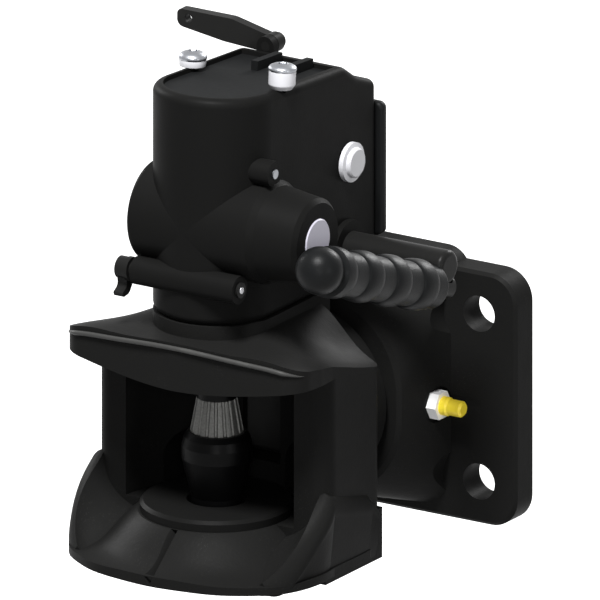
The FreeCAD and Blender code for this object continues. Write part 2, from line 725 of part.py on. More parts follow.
def lower_bush():
    inner = PIN_TIP_R + RUN
    tube = cyl_z(inner + LOWER_BUSH_WALL, JAW_BOTTOM_Z + 1, JAW_FLOOR_Z, 0, PIN_AXIS_Y)
    return tube.cut(cyl_z(inner, JAW_BOTTOM_Z, JAW_FLOOR_Z + 1, 0, PIN_AXIS_Y))


def upper_bush():
    inner = PIN_R + RUN
    tube = cyl_z(inner + UPPER_BUSH_WALL, JAW_CEILING_Z, UPPER_BUSH_TOP_Z, 0, PIN_AXIS_Y)
    tube = tube.cut(cyl_z(inner, JAW_CEILING_Z - 1, UPPER_BUSH_TOP_Z + 1, 0, PIN_AXIS_Y))
    slot_half = CRANK_W / 2 + 1
    window = box(-slot_half, slot_half, PIN_AXIS_Y, PIN_AXIS_Y + 30, JAW_CEILING_Z + 6, UPPER_BUSH_TOP_Z + 1)
    return tube.cut(window)


def roller_rest_z():
    """Height of the crank's cross pin when the coupling pin is down."""
    arm = LEVER_AXIS_Y
    return LEVER_AXIS_Z - arm * math.sin(math.radians(LEVER_SWING / 2))


def coupling_pin():
    """Bulged coupling pin with its fluted neck, guide, crank slot and spring stem."""
    points = [(0, PIN_TIP_Z), (PIN_TIP_R - 2, PIN_TIP_Z), (PIN_TIP_R, PIN_TIP_Z + 3),
              (PIN_TIP_R, PIN_TIP_TOP_Z), (PIN_R - 1, PIN_BULGE_LOW_Z - 1), (PIN_R, PIN_BULGE_LOW_Z + 3),
              (PIN_R, PIN_BULGE_TOP_Z - 4), (PIN_R - 1.2, PIN_BULGE_TOP_Z),
              (PIN_COLLAR_R + 1, PIN_NECK_LOW_Z), (PIN_COLLAR_R, PIN_NECK_LOW_Z),
              (PIN_NECK_R, PIN_NECK_HIGH_Z), (PIN_NECK_R, PIN_GUIDE_LOW_Z - 4), (PIN_R - 1, PIN_GUIDE_LOW_Z),
              (PIN_R, PIN_GUIDE_LOW_Z + 1), (PIN_R, PIN_GUIDE_TOP_Z - 1), (PIN_R - 1, PIN_GUIDE_TOP_Z),
              (PIN_STEM_R, PIN_GUIDE_TOP_Z), (PIN_STEM_R, PIN_GUIDE_TOP_Z + PIN_STEM_H),
              (0, PIN_GUIDE_TOP_Z + PIN_STEM_H)]
    pin = turned_z(points, PIN_AXIS_Y)
    lean = math.atan((PIN_COLLAR_R - PIN_NECK_R) / (PIN_NECK_HIGH_Z - PIN_NECK_LOW_Z))
    length = (PIN_NECK_HIGH_Z - PIN_NECK_LOW_Z) / math.cos(lean)
    upwards = Vector(-math.sin(lean), 0, math.cos(lean))
    flutes = []
    for index in range(PIN_FLUTES):
        flute = Part.makeCylinder(PIN_FLUTE_R, length, Vector(PIN_COLLAR_R + 0.2, 0, 0), upwards)
        flute.rotate(Vector(0, 0, 0), Vector(0, 0, 1), index * 360 / PIN_FLUTES)
        flute.translate(Vector(0, PIN_AXIS_Y, PIN_NECK_LOW_Z))
        flutes.append(flute)
    pin = pin.cut(flutes)
    z = roller_rest_z()
    side = ROLLER_HALF + 1
    groove = box(-side, side, PIN_AXIS_Y - ROLLER_R - 1.5, PIN_AXIS_Y + 20, z - ROLLER_R - ROLLER_PLAY,
                 z + ROLLER_R + ROLLER_PLAY)
    middle = CRANK_W / 2 + 0.7
    slot = box(-middle, middle, PIN_AXIS_Y - CRANK_EYE_R - 0.8, PIN_AXIS_Y + 20, z - 12.5, z + 12.5)
    return pin.cut([groove, slot])


def u_prism(radius, rear, z0, z1):
    """Upright prism with a half-round front about the pin and straight sides to the rear."""
    front = cyl_z(radius, z0, z1, 0, PIN_AXIS_Y)
    return front.fuse(box(-radius, radius, PIN_AXIS_Y, PIN_AXIS_Y + rear, z0, z1)).removeSplitter()


def top_slope():
    return math.tan(math.radians(TOWER_TOP_TILT))


def tilted(shape):
    """Turns a shape built level at the housing's top to the slope of that top."""
    shape.rotate(Vector(0, PIN_AXIS_Y + TOWER_SLOPE_START, TOWER_TOP_Z), Vector(1, 0, 0), -TOWER_TOP_TILT)
    return shape


def tower_side(low, inset):
    """Side outline of the housing from a floor height, with the top drawn in, as a cross prism."""
    front = PIN_AXIS_Y - TOWER_R - TOWER_FRONT_SPARE
    rear = PIN_AXIS_Y + TOWER_REACH_Y
    top = TOWER_TOP_Z - inset
    front_top = top + (TOWER_SLOPE_START + TOWER_R + TOWER_FRONT_SPARE) * top_slope()
    points = [(front, low), (PIN_AXIS_Y + TOWER_BEVEL_Y, low), (rear, low + TOWER_BEVEL_Z),
              (rear, top - TOWER_SLOPE_DROP), (PIN_AXIS_Y + TOWER_SLOPE_MID_Y, top - TOWER_SLOPE_MID_DROP),
              (PIN_AXIS_Y + TOWER_SLOPE_START, top), (front, front_top)]
    roof_r = TOWER_ROOF_EDGE_R
    radii = [0, TOWER_REAR_EDGE_R, TOWER_REAR_EDGE_R - 1, TOWER_REAR_EDGE_R, roof_r, roof_r, 0]
    return side_prism(points, radii, -CROSS_RIGHT_X, CROSS_RIGHT_X)


def mechanism_housing():
    """Tall housing over the jaw: round front, cross cylinder, rod bosses, rim and sloped roof."""
    z0 = JAW_DECK_Z + 3
    high = TOWER_TOP_Z + TOWER_SPARE_H
    shell = u_prism(TOWER_R, TOWER_REACH_Y, z0, high).common(tower_side(z0, 0))
    shell = shell.makeFillet(TOWER_EDGE_R, edges_at(shell, is_tower_top_edge))
    cross = cyl_x(CROSS_R, CROSS_LEFT_X, CROSS_SPLIT_X, PIN_AXIS_Y + CROSS_Y, CROSS_Z)
    cross = cross.makeFillet(EDGE_R, edges_at(cross, lambda e: e.BoundBox.XMax < CROSS_LEFT_X + 0.1))
    rod_boss = cyl_x(ROD_BOSS_R, -TOWER_R + 2, ROD_RIGHT_X - 1, PIN_AXIS_Y + ROD_Y, ROD_Z)
    pin_boss = cyl_x(BOSS_R, BOSS_X - BOSS_LEN, BOSS_X, PIN_AXIS_Y + BOSS_Y, BOSS_Z)
    barrel_room = cyl_x(CROSS_R + GAP, CROSS_SPLIT_X, BOSS_X + 1, PIN_AXIS_Y + CROSS_Y, CROSS_Z)
    lever_boss = cyl_x(LEVER_SHAFT_R + 5, -TOWER_R, TOWER_R + 3, PIN_AXIS_Y + LEVER_AXIS_Y, LEVER_AXIS_Z)
    shell = shell.fuse([cross, rod_boss, pin_boss.cut(barrel_room), lever_boss, remote_ear()])
    floor_z = z0 + TOWER_FLOOR_T
    cavity = u_prism(TOWER_INNER_R, TOWER_REACH_Y - REAR_WALL_T, floor_z, high)
    shell = shell.cut(cavity.common(tower_side(floor_z, TOWER_ROOF_T)))
    shell = shell.cut(tilted(u_prism(TOWER_INNER_R, TOWER_ROOF_Y, TOWER_TOP_Z - 2 * TOWER_ROOF_T, high)))
    ledge_z = TOWER_TOP_Z - LID_DEPTH - LID_T
    shell = shell.cut(tilted(u_prism(TOWER_RIM_R, TOWER_ROOF_Y, ledge_z, high)))
    shell = shell.cut(cyl_z(PIN_R + 3, z0 - 1, floor_z + 1, 0, PIN_AXIS_Y))
    slot_half = CRANK_W / 2 + 2
    shell = shell.cut(box(-slot_half, slot_half, PIN_AXIS_Y, PIN_AXIS_Y + LEVER_AXIS_Y, z0 - 1, floor_z + 1))
    return shell.cut(housing_bores())


def is_tower_top_edge(edge):
    bounds = edge.BoundBox
    across = bounds.XLength < 0.1 and bounds.XMax > -TOWER_R + 1 and bounds.XMin < TOWER_R - 1
    flat_rear = bounds.YLength < 0.1
    return bounds.ZMin > TOWER_TOP_Z - 1 and bounds.YLength > 1 and not across and not flat_rear


def remote_ear():
    """Ear on the roof, in front of the remote lever, that carries its pivot."""
    y1 = PIN_AXIS_Y + REMOTE_Y - REMOTE_T / 2 - REMOTE_EAR_GAP
    y0 = y1 - REMOTE_EAR_T
    ear = cyl_y(REMOTE_HUB_R, y0, y1, REMOTE_X, REMOTE_Z)
    base = box(REMOTE_X - REMOTE_HUB_R, REMOTE_X + REMOTE_HUB_R, y0, y1, TOWER_TOP_Z - 4, REMOTE_Z)
    return ear.fuse(base)


def housing_bores():
    lever_y = PIN_AXIS_Y + LEVER_AXIS_Y
    catch_y = PIN_AXIS_Y + CATCH_Y
    remote_y = PIN_AXIS_Y + REMOTE_Y
    rear_y = PIN_AXIS_Y + TOWER_REACH_Y
    blind = -TOWER_R + 2
    low = REAR_COVER_BOTTOM_Z + REAR_OPENING_MARGIN
    high = REAR_COVER_TOP_Z - REAR_OPENING_MARGIN
    cuts = [
        cyl_x(LEVER_SHAFT_R + RUN, blind, TOWER_R + 5, lever_y, LEVER_AXIS_Z),
        cyl_x(CATCH_SHAFT_R + RUN, blind, TOWER_R + 1, catch_y, CATCH_Z),
        cyl_x(ROD_R + RUN, -TOWER_R - 1, TOWER_R + 1, PIN_AXIS_Y + ROD_Y, ROD_Z),
        cyl_x(PLUNGER_NOSE_R + RUN, 0, CROSS_SPLIT_X + 1, PIN_AXIS_Y + CROSS_Y, CROSS_Z),
        cyl_x(BOSS_PIN_R + FIT, BOSS_X - BOSS_LEN / 2, BOSS_X + 1, PIN_AXIS_Y + BOSS_Y, BOSS_Z),
        cyl_y(REMOTE_PIN_R + FIT, remote_y - REMOTE_T - REMOTE_EAR_T, remote_y, REMOTE_X, REMOTE_Z),
        box(-REAR_OPENING_HALF, REAR_OPENING_HALF, rear_y - REAR_WALL_T - 1, rear_y + 1, low, high),
        screw_hole(-SCREW_X, SCREW_LEFT_Y),
        screw_hole(SCREW_X, SCREW_RIGHT_Y),
    ]
    for x, z in rear_screw_places():
        cuts.append(cyl_y(SCREW_R + FIT, rear_y - REAR_WALL_T - 1, rear_y + 1, x, z))
    return cuts


def screw_hole(x, y):
    return tilted(cyl_z(SCREW_R + FIT, TOWER_TOP_Z - SCREW_DEPTH, TOWER_TOP_Z + 1, x, PIN_AXIS_Y + y))


def top_cover():
    """Lid sunk inside the housing's rim, with two ribs at its rear."""
    z0 = TOWER_TOP_Z - LID_DEPTH - LID_T
    z1 = z0 + LID_T
    plate = u_prism(TOWER_RIM_R - GAP, TOWER_ROOF_Y - GAP, z0, z1)
    y1 = PIN_AXIS_Y + TOWER_ROOF_Y - 1
    for x in (LID_RIB_LEFT_X, LID_RIB_RIGHT_X):
        half = LID_RIB_W / 2
        plate = plate.fuse(box(x - half, x + half, PIN_AXIS_Y + LID_RIB_Y, y1, z1 - 1, z1 + LID_RIB_H))
    for x, y in ((-SCREW_X, SCREW_LEFT_Y), (SCREW_X, SCREW_RIGHT_Y)):
        plate = plate.cut(cyl_z(SCREW_R + GAP, z0 - 1, z1 + 1, x, PIN_AXIS_Y + y))
    return tilted(plate)


def cover_screw_left():
    """Low domed screw on its washer, holding the lid at the left."""
    z0 = TOWER_TOP_Z
    z1 = z0 + WASHER_H
    profile = [(0, z0 - SCREW_DEPTH), (SCREW_R, z0 - SCREW_DEPTH), (SCREW_R, z0), (SPACER_R, z0),
               (SPACER_R, z1), (SCREW_HEAD_R, z1), (SCREW_HEAD_R, z1 + 1), (SCREW_HEAD_R - 1.2, z1 + 2.6),
               (SCREW_HEAD_R / 2, z1 + SCREW_HEAD_H - 0.4), (0, z1 + SCREW_HEAD_H)]
    return tilted(moved(turned_z(profile, PIN_AXIS_Y + SCREW_LEFT_Y), -SCREW_X))


def cover_screw_right():
    """Domed screw on a tall spacer, holding the lid at the right."""
    z0 = TOWER_TOP_Z
    z1 = z0 + SPACER_H
    profile = [(0, z0 - SCREW_DEPTH), (SCREW_R, z0 - SCREW_DEPTH), (SCREW_R, z0), (SPACER_R - 1.5, z0),
               (SPACER_R, z0 + 2), (SPACER_R, z1), (SCREW_HEAD_R, z1), (SCREW_HEAD_R, z1 + 0.8),
               (SCREW_HEAD_R - 1.5, z1 + 2.2), (SCREW_HEAD_R / 2, z1 + 3), (0, z1 + 3.3)]
    return tilted(moved(turned_z(profile, PIN_AXIS_Y + SCREW_RIGHT_Y), SCREW_X))


def rear_cover():
    """Plate that closes the housing's open back."""
    y0 = PIN_AXIS_Y + TOWER_REACH_Y
    half = TOWER_INNER_R + 3
    points = [(-half, REAR_COVER_BOTTOM_Z), (half, REAR_COVER_BOTTOM_Z), (half, REAR_COVER_TOP_Z),
              (-half, REAR_COVER_TOP_Z)]
    wire = rounded_wire(points, [4] * 4, lambda v: Vector(v.x, y0, v.y))
    plate = Part.Face(wire).extrude(Vector(0, REAR_COVER_T, 0))
    for x, z in rear_screw_places():
        plate = plate.cut(cyl_y(SCREW_R + FIT, y0 - 1, y0 + REAR_COVER_T + 1, x, z))
    return plate


def rear_screw_places():
    low = REAR_COVER_BOTTOM_Z + REAR_SCREW_INSET
    high = REAR_COVER_TOP_Z - REAR_SCREW_INSET
    return [(side * REAR_SCREW_X, z) for side in (-1, 1) for z in (low, high)]


def rear_cover_screws():
    y0 = PIN_AXIS_Y + TOWER_REACH_Y + REAR_COVER_T
    screws = []
    for x, z in rear_screw_places():
        shank = cyl_y(SCREW_R, y0 - REAR_SCREW_LEN, y0, x, z)
        head = cyl_y(SCREW_R * 1.9, y0, y0 + 2.4, x, z)
        socket = cyl_y(SCREW_R * 0.9, y0 + 1, y0 + 3, x, z)
        screws.append(shank.fuse(head).cut(socket))
    return Part.makeCompound(screws)


def plunger_housing():
    """Turned barrel on the right of the cross cylinder."""
    y = PIN_AXIS_Y + CROSS_Y
    profile = [(0, CROSS_SPLIT_X), (CROSS_R, CROSS_SPLIT_X), (CROSS_R, CROSS_SPLIT_X + 3),
               (PLUNGER_HOUSING_R + 2.5, CROSS_SPLIT_X + 6), (PLUNGER_HOUSING_R, CROSS_RIGHT_X - 2),
               (PLUNGER_HOUSING_R - 2, CROSS_RIGHT_X), (0, CROSS_RIGHT_X)]
    barrel = turned_x(profile, y, CROSS_Z)
    barrel = barrel.cut(cyl_x(PLUNGER_NOSE_R + RUN, CROSS_SPLIT_X - 1, CROSS_RIGHT_X, y, CROSS_Z))
    seat_x = CROSS_RIGHT_X - PLUNGER_HEAD_LEN - GAP
    return barrel.cut(cyl_x(PLUNGER_R + RUN, seat_x, CROSS_RIGHT_X + 1, y, CROSS_Z))


def lock_plunger():
    """Spring-loaded indicator plunger that rests beside the pin."""
    nose = PIN_R + GAP
    head = CROSS_RIGHT_X - PLUNGER_HEAD_LEN
    end = CROSS_RIGHT_X + 0.5
    profile = [(0, nose), (PLUNGER_NOSE_R - 1.5, nose), (PLUNGER_NOSE_R, nose + 2), (PLUNGER_NOSE_R, head),
               (PLUNGER_R, head), (PLUNGER_R, end - 0.7), (PLUNGER_R - 0.7, end), (0, end)]
    return turned_x(profile, PIN_AXIS_Y + CROSS_Y, CROSS_Z)


def closing_spring():
    """Coil spring above the pin: many-sided wire sections set along a helix."""
    z0 = PIN_GUIDE_TOP_Z + 0.2 + SPRING_WIRE_R
    rise = SPRING_TOP_Z - 0.2 - SPRING_WIRE_R - z0
    steps = SPRING_TURNS * SPRING_STEPS
    sections = []
    for step in range(steps + 1):
        turn = 2 * math.pi * step / SPRING_STEPS
        out = Vector(math.cos(turn), math.sin(turn), 0)
        centre = Vector(0, PIN_AXIS_Y, z0 + rise * step / steps) + out * SPRING_R
        ring = []
        for side in range(SPRING_SIDES):
            angle = 2 * math.pi * side / SPRING_SIDES
            lift = Vector(0, 0, SPRING_WIRE_R * math.sin(angle))
            ring.append(centre + out * (SPRING_WIRE_R * math.cos(angle)) + lift)
        sections.append(Part.makePolygon(ring + [ring[0]]))
    return Part.makeLoft(sections, True, True)


def spring_seat():
    """Cup washer under the lid that centres the closing spring."""
    lid_z = TOWER_TOP_Z - LID_DEPTH - LID_T
    seat = cyl_z(SPRING_R + 4, SPRING_TOP_Z, TOWER_TOP_Z + 5, 0, PIN_AXIS_Y)
    stub = cyl_z(SPRING_R - SPRING_WIRE_R - 1.5, SPRING_TOP_Z - 4, SPRING_TOP_Z + 1, 0, PIN_AXIS_Y)
    reach = 2 * TOWER_R
    above = box(-TOWER_R, TOWER_R, PIN_AXIS_Y - reach, PIN_AXIS_Y + reach, lid_z, lid_z + TOWER_SPARE_H)
    return seat.fuse(stub).cut(tilted(above))


def hand_lever_shaft():
    y = PIN_AXIS_Y + LEVER_AXIS_Y
    shaft = cyl_x(LEVER_SHAFT_R, -TOWER_R + 2 + GAP, LEVER_SHAFT_END, y, LEVER_AXIS_Z)
    return shaft.makeFillet(EDGE_R, edges_at(shaft, lambda e: e.BoundBox.XMin > LEVER_SHAFT_END - 0.1))


def lifting_crank():
    """Crank on the lever's shaft whose forked arm lifts the coupling pin."""
    y = PIN_AXIS_Y + LEVER_AXIS_Y
    hub = cyl_x(CRANK_HUB_R, -CRANK_HUB_HALF, CRANK_HUB_HALF, y, LEVER_AXIS_Z)
    arm = box(-CRANK_W / 2, CRANK_W / 2, y - LEVER_AXIS_Y, y, LEVER_AXIS_Z - CRANK_ARM_H / 2,
              LEVER_AXIS_Z + CRANK_ARM_H / 2)
    eye = cyl_x(CRANK_EYE_R, -CRANK_W / 2, CRANK_W / 2, y - LEVER_AXIS_Y, LEVER_AXIS_Z)
    bore = cyl_x(ROLLER_R, -CRANK_W, CRANK_W, y - LEVER_AXIS_Y, LEVER_AXIS_Z)
    shaft = cyl_x(LEVER_SHAFT_R, -CRANK_HUB_HALF - 1, CRANK_HUB_HALF + 1, y, LEVER_AXIS_Z)
    crank = hub.fuse([arm, eye]).cut([bore, shaft])
    crank.rotate(Vector(0, y, LEVER_AXIS_Z), Vector(1, 0, 0), LEVER_SWING / 2)
    return crank


def crank_cross_pin():
    y = PIN_AXIS_Y + LEVER_AXIS_Y - LEVER_AXIS_Y * math.cos(math.radians(LEVER_SWING / 2))
    pin = cyl_x(ROLLER_R, -ROLLER_HALF, ROLLER_HALF, y, roller_rest_z())
    return pin.makeChamfer(0.6, edges_at(pin, lambda e: e.BoundBox.XLength < 0.1))


def laid_on_lever(shape):
    """Turns a solid standing on the origin into the line of the hand lever."""
    tilt = math.radians(LEVER_TILT)
    shape.rotate(Vector(0, 0, 0), Vector(1, 0, 0), 90 - LEVER_TILT)
    y = PIN_AXIS_Y + LEVER_AXIS_Y - LEVER_OFFSET * math.sin(tilt)
    z = LEVER_AXIS_Z - LEVER_OFFSET * math.cos(tilt)
    shape.translate(Vector(LEVER_PLANE_X, y, z))
    return shape.cut(cyl_x(LEVER_SHAFT_R, 0, LEVER_SHAFT_END, PIN_AXIS_Y + LEVER_AXIS_Y, LEVER_AXIS_Z))


def hand_lever_rod():
    return laid_on_lever(Part.makeCylinder(LEVER_ROD_R, ROD_BALL_AT - GRIP_START, Vector(0, 0, GRIP_START)))


def lever_grip():
    """Moulded grip with ribs that swell from its waist and a round end."""
    swell = GRIP_R - GRIP_WAIST_R
    start = GRIP_START - 2
    step = GRIP_RIB_PITCH / 6
    rows = [(0, start), (GRIP_R - 1.5, start), (GRIP_R, start + 2)]
    for index in range(1, 6 * GRIP_RIBS + 1):
        wave = (1 + math.cos(math.pi * index / 3)) / 2
        rows.append((GRIP_WAIST_R + swell * wave, start + 4 + index * step))
    ball_z = rows[-1][1]
    for share in (0.2, 0.4, 0.6, 0.8):
        angle = share * math.pi / 2
        rows.append((GRIP_R * math.cos(angle), ball_z + GRIP_R * math.sin(angle)))
    rows.append((0, ball_z + GRIP_R))
    outline = Part.makePolygon([Vector(r, 0, t) for r, t in rows + [rows[0]]])
    grip = Part.Face(outline).revolve(Vector(0, 0, 0), Vector(0, 0, 1), 360)
    bore = Part.makeCylinder(LEVER_ROD_R, ROD_BALL_AT - GRIP_START, Vector(0, 0, GRIP_START))
    return laid_on_lever(grip.cut(bore))


def catch_shaft():
    """Cross shaft with the pawl that hangs beside the crank."""
    y = PIN_AXIS_Y + CATCH_Y
    shaft = cyl_x(CATCH_SHAFT_R, -TOWER_R + 2 + GAP, TOWER_R + GAP, y, CATCH_Z)
    half = PAWL_T / 2
    hub = cyl_x(CATCH_SHAFT_R + 4, PAWL_X - half, PAWL_X + half, y, CATCH_Z)
    points = [(y - 4, CATCH_Z - PAWL_LEN), (y + 4, CATCH_Z - PAWL_LEN), (y + CATCH_SHAFT_R, CATCH_Z),
              (y - CATCH_SHAFT_R, CATCH_Z)]
    pawl = side_prism(points, [2, 2, 0, 0], PAWL_X - half, PAWL_X + half)
    return shaft.fuse([hub, pawl])


def catch_cap():
    x0 = TOWER_R + GAP
    x1 = x0 + CATCH_CAP_T
    profile = [(0, x0), (CATCH_CAP_R, x0), (CATCH_CAP_R, x0 + 2.2), (CATCH_CAP_R - 2, x0 + 2.6),
               (CATCH_CAP_R - 2.4, x1 - 0.5), (CATCH_CAP_R - 3, x1), (0, x1)]
    return turned_x(profile, PIN_AXIS_Y + CATCH_Y, CATCH_Z)


def hold_rod():
    """Cross rod with its collar and the claw hook that curves down at the left."""
    y = PIN_AXIS_Y + ROD_Y
    rod = cyl_x(ROD_R, ROD_LEFT_X, ROD_RIGHT_X, y, ROD_Z)
    collar = cyl_x(ROD_R + 2, -TOWER_R - GAP - 2, -TOWER_R - GAP, y, ROD_Z)
    end = cyl_x(HOOK_HUB_R, ROD_LEFT_X, ROD_LEFT_X + HOOK_T, y, ROD_Z)
    low = ROD_Z - HOOK_DROP
    points = [(y - 3, ROD_Z), (y + 4, ROD_Z), (y + 4, low + 6), (y, low), (y - HOOK_REACH, low - 0.5),
              (y - HOOK_REACH - 1, low + 1.5), (y - 2, low + 4)]
    claw = side_prism(points, [0, 0, 4, 4, 1, 0.8, 3], ROD_LEFT_X, ROD_LEFT_X + HOOK_T)
    return rod.fuse([collar, end, claw])


def boss_pin():
    x1 = BOSS_X + 0.6
    return cyl_x(BOSS_PIN_R, BOSS_X - BOSS_LEN / 2, x1, PIN_AXIS_Y + BOSS_Y, BOSS_Z)


def remote_lever():
    """Flat lever on the roof for the remote cable: level at its tip, then bent down to its pivot."""
    y0 = PIN_AXIS_Y + REMOTE_Y - REMOTE_T / 2
    half = REMOTE_H / 2
    tip_x = REMOTE_X - REMOTE_LEN
    points = [(REMOTE_X, REMOTE_Z - REMOTE_HUB_R), (REMOTE_X, REMOTE_Z + REMOTE_HUB_R - 1),
              (REMOTE_BEND_X, REMOTE_TIP_Z + half), (tip_x, REMOTE_TIP_Z + half),
              (tip_x, REMOTE_TIP_Z - half), (REMOTE_BEND_X - 4, REMOTE_TIP_Z - half - REMOTE_BELLY)]
    wire = rounded_wire(points, [0, 0, 14, 2.5, 3.5, 12], lambda v: Vector(v.x, y0, v.y))
    plate = Part.Face(wire).extrude(Vector(0, REMOTE_T, 0))
    plate = plate.fuse(cyl_y(REMOTE_HUB_R, y0, y0 + REMOTE_T, REMOTE_X, REMOTE_Z))
    cable_hole = cyl_y(2.0, y0 - 1, y0 + REMOTE_T + 1, tip_x + 6, REMOTE_TIP_Z)
    pivot = cyl_y(REMOTE_PIN_R + RUN, y0 - 1, y0 + REMOTE_T + 1, REMOTE_X, REMOTE_Z)
    return plate.cut([cable_hole, pivot])


def remote_pivot_pin():
    back = PIN_AXIS_Y + REMOTE_Y + REMOTE_T / 2
    start = back - REMOTE_T - REMOTE_EAR_GAP - REMOTE_EAR_T
    head = cyl_y(REMOTE_PIN_R + 1.6, back + GAP, back + 2, REMOTE_X, REMOTE_Z)
    return head.fuse(cyl_y(REMOTE_PIN_R, start, back + GAP, REMOTE_X, REMOTE_Z))


def trigger_paddle():
    """Paddle at the back of the jaw that a towing eye pushes to release the pin."""
    y = PIN_AXIS_Y + TRIGGER_Y
    hub = cyl_x(TRIGGER_R, -TRIGGER_HALF_W, TRIGGER_HALF_W, y, TRIGGER_Z)
    half = TRIGGER_T / 2
    low = TRIGGER_Z - TRIGGER_LEN
    points = [(y - half, low), (y + half, low), (y + half, TRIGGER_Z), (y - half, TRIGGER_Z)]
    blade = side_prism(points, [2.5, 2.5, 0, 0], -TRIGGER_HALF_W, TRIGGER_HALF_W)
    bore = cyl_x(TRIGGER_PIN_R + RUN, -TRIGGER_HALF_W - 1, TRIGGER_HALF_W + 1, y, TRIGGER_Z)
    return hub.fuse(blade).cut(bore)


def trigger_pin():
    return cyl_x(TRIGGER_PIN_R, -TRIGGER_PIN_HALF, TRIGGER_PIN_HALF, PIN_AXIS_Y + TRIGGER_Y, TRIGGER_Z)


def indicator_plug():
    z0 = JAW_CEILING_Z - PLUG_PROUD
    return cyl_z(PLUG_R, z0, z0 + PLUG_LEN, PLUG_X, PIN_AXIS_Y + PLUG_Y)


NODES = [
    flange_plate, swivel_bush, thrust_washer, disc_spring, castle_nut, cotter_pin, grease_fitting, grease_cap,
    neck_seal, jaw_body, wear_plate, lower_bush, upper_bush, coupling_pin, closing_spring, spring_seat,
    mechanism_housing, top_cover, cover_screw_left, cover_screw_right, rear_cover, rear_cover_screws,
    plunger_housing, lock_plunger, hand_lever_shaft, lifting_crank, crank_cross_pin, hand_lever_rod,
    lever_grip, catch_shaft, catch_cap, hold_rod, boss_pin, remote_lever, remote_pivot_pin, trigger_paddle,
    trigger_pin, indicator_plug,
]


def main():
    os.makedirs("parts", exist_ok=True)
    for make_node in NODES:
        solids = make_node().Solids
        shape = solids[0] if len(solids) == 1 else Part.makeCompound(solids)
        shape.exportStep(os.path.join("parts", make_node.__name__ + ".step"))


if __name__ == "__main__":
    main()
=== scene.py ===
import math

import bpy
import numpy as np
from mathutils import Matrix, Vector


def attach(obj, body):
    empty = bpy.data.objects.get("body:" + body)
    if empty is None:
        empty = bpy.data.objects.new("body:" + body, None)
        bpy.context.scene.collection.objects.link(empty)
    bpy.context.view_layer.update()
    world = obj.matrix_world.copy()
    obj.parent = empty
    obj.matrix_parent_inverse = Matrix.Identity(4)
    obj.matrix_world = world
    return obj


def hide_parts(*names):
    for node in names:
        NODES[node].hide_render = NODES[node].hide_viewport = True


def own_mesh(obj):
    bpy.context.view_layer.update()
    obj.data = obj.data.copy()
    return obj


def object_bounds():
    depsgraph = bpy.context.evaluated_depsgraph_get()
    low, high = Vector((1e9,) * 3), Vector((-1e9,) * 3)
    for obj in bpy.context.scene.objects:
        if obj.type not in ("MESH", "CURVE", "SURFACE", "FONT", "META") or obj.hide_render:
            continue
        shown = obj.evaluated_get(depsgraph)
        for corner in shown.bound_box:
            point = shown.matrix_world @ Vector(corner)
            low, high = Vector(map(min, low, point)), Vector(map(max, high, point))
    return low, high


bl_info = {
    "name": "Flange Tow Coupling Looks",
    "version": (1, 0, 0),
    "blender": (4, 5, 0),
    "location": "View3D > Sidebar > Tow Coupling",
    "description": "Finishes and detail pieces for a flange tow coupling, with a studio stage",
    "category": "Object",
}

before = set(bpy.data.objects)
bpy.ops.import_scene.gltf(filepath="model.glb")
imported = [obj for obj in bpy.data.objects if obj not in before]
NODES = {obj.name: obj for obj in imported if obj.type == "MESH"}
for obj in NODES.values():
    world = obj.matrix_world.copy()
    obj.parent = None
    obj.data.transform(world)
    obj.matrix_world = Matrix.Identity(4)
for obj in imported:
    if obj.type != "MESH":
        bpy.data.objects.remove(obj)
CAD_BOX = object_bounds()
MM = 0.001
PIN_AXIS = Vector((0.0, -0.125, 0.0))
LID_PLANE_HINGE = np.array([0.0, -0.061, 0.1635])
LID_PLANE_TILT = math.radians(4.3)
LEVER_SHAFT = Vector((0.0, -0.062, 0.078))
ROD_END = np.array([0.02905, -0.150, 0.082])
# millimetres on the lid's plane: place across, place along, spacer's height, its foot's radius, dome's height
SCREWS = {
    "left": {"x": -26.4, "along": -43.0, "lift": 3.0, "foot": 6.0, "dome": 4.0, "slot": "steel_dark"},
    "right": {"x": 26.4, "along": -51.0, "lift": 8.5, "foot": 4.7, "dome": 3.3, "slot": "zinc_white"},
}
FILL_STRENGTH = 0.16
CAMERA_DISTANCE = 1.5
FLOOR_REACH = 6.0
# name, place in metres, size in metres, power in watts
LAMPS = (
    ("key_light", (0.2, -0.75, 1.35), 0.4, 56.0),
    ("front_light", (0.72, -1.3, 0.45), 0.25, 4.5),
    ("side_light", (1.5, -0.5, 0.4), 0.4, 4.0),
    ("back_light", (0.0, 1.7, 0.8), 0.6, 20.0),
    ("left_light", (-1.6, 0.35, 0.7), 0.6, 16.0),
)


# Shader tools

class Wire:
    """One output socket that takes part in arithmetic; each operator adds a Math node."""

    def __init__(self, nodes, socket):
        self.nodes = nodes
        self.socket = socket

    def math(self, operation, first, second=None):
        values = {0: first}
        if second is not None:
            values[1] = second
        return self.nodes.add("ShaderNodeMath", {"operation": operation}, values)

    def __add__(self, other):
        return self.math("ADD", self, other)

    def __radd__(self, other):
        return self.math("ADD", other, self)

    def __rsub__(self, other):
        return self.math("SUBTRACT", other, self)

    def __mul__(self, other):
        return self.math("MULTIPLY", self, other)

    def __rmul__(self, other):
        return self.math("MULTIPLY", other, self)

    def between(self, low, high, to_low=0.0, to_high=1.0):
        """A smooth step from to_low, where the value is low, to to_high, where it is high."""
        values = {"Value": self, "From Min": low, "From Max": high, "To Min": to_low, "To Max": to_high}
        return self.nodes.add("ShaderNodeMapRange", {"interpolation_type": "SMOOTHSTEP"}, values)


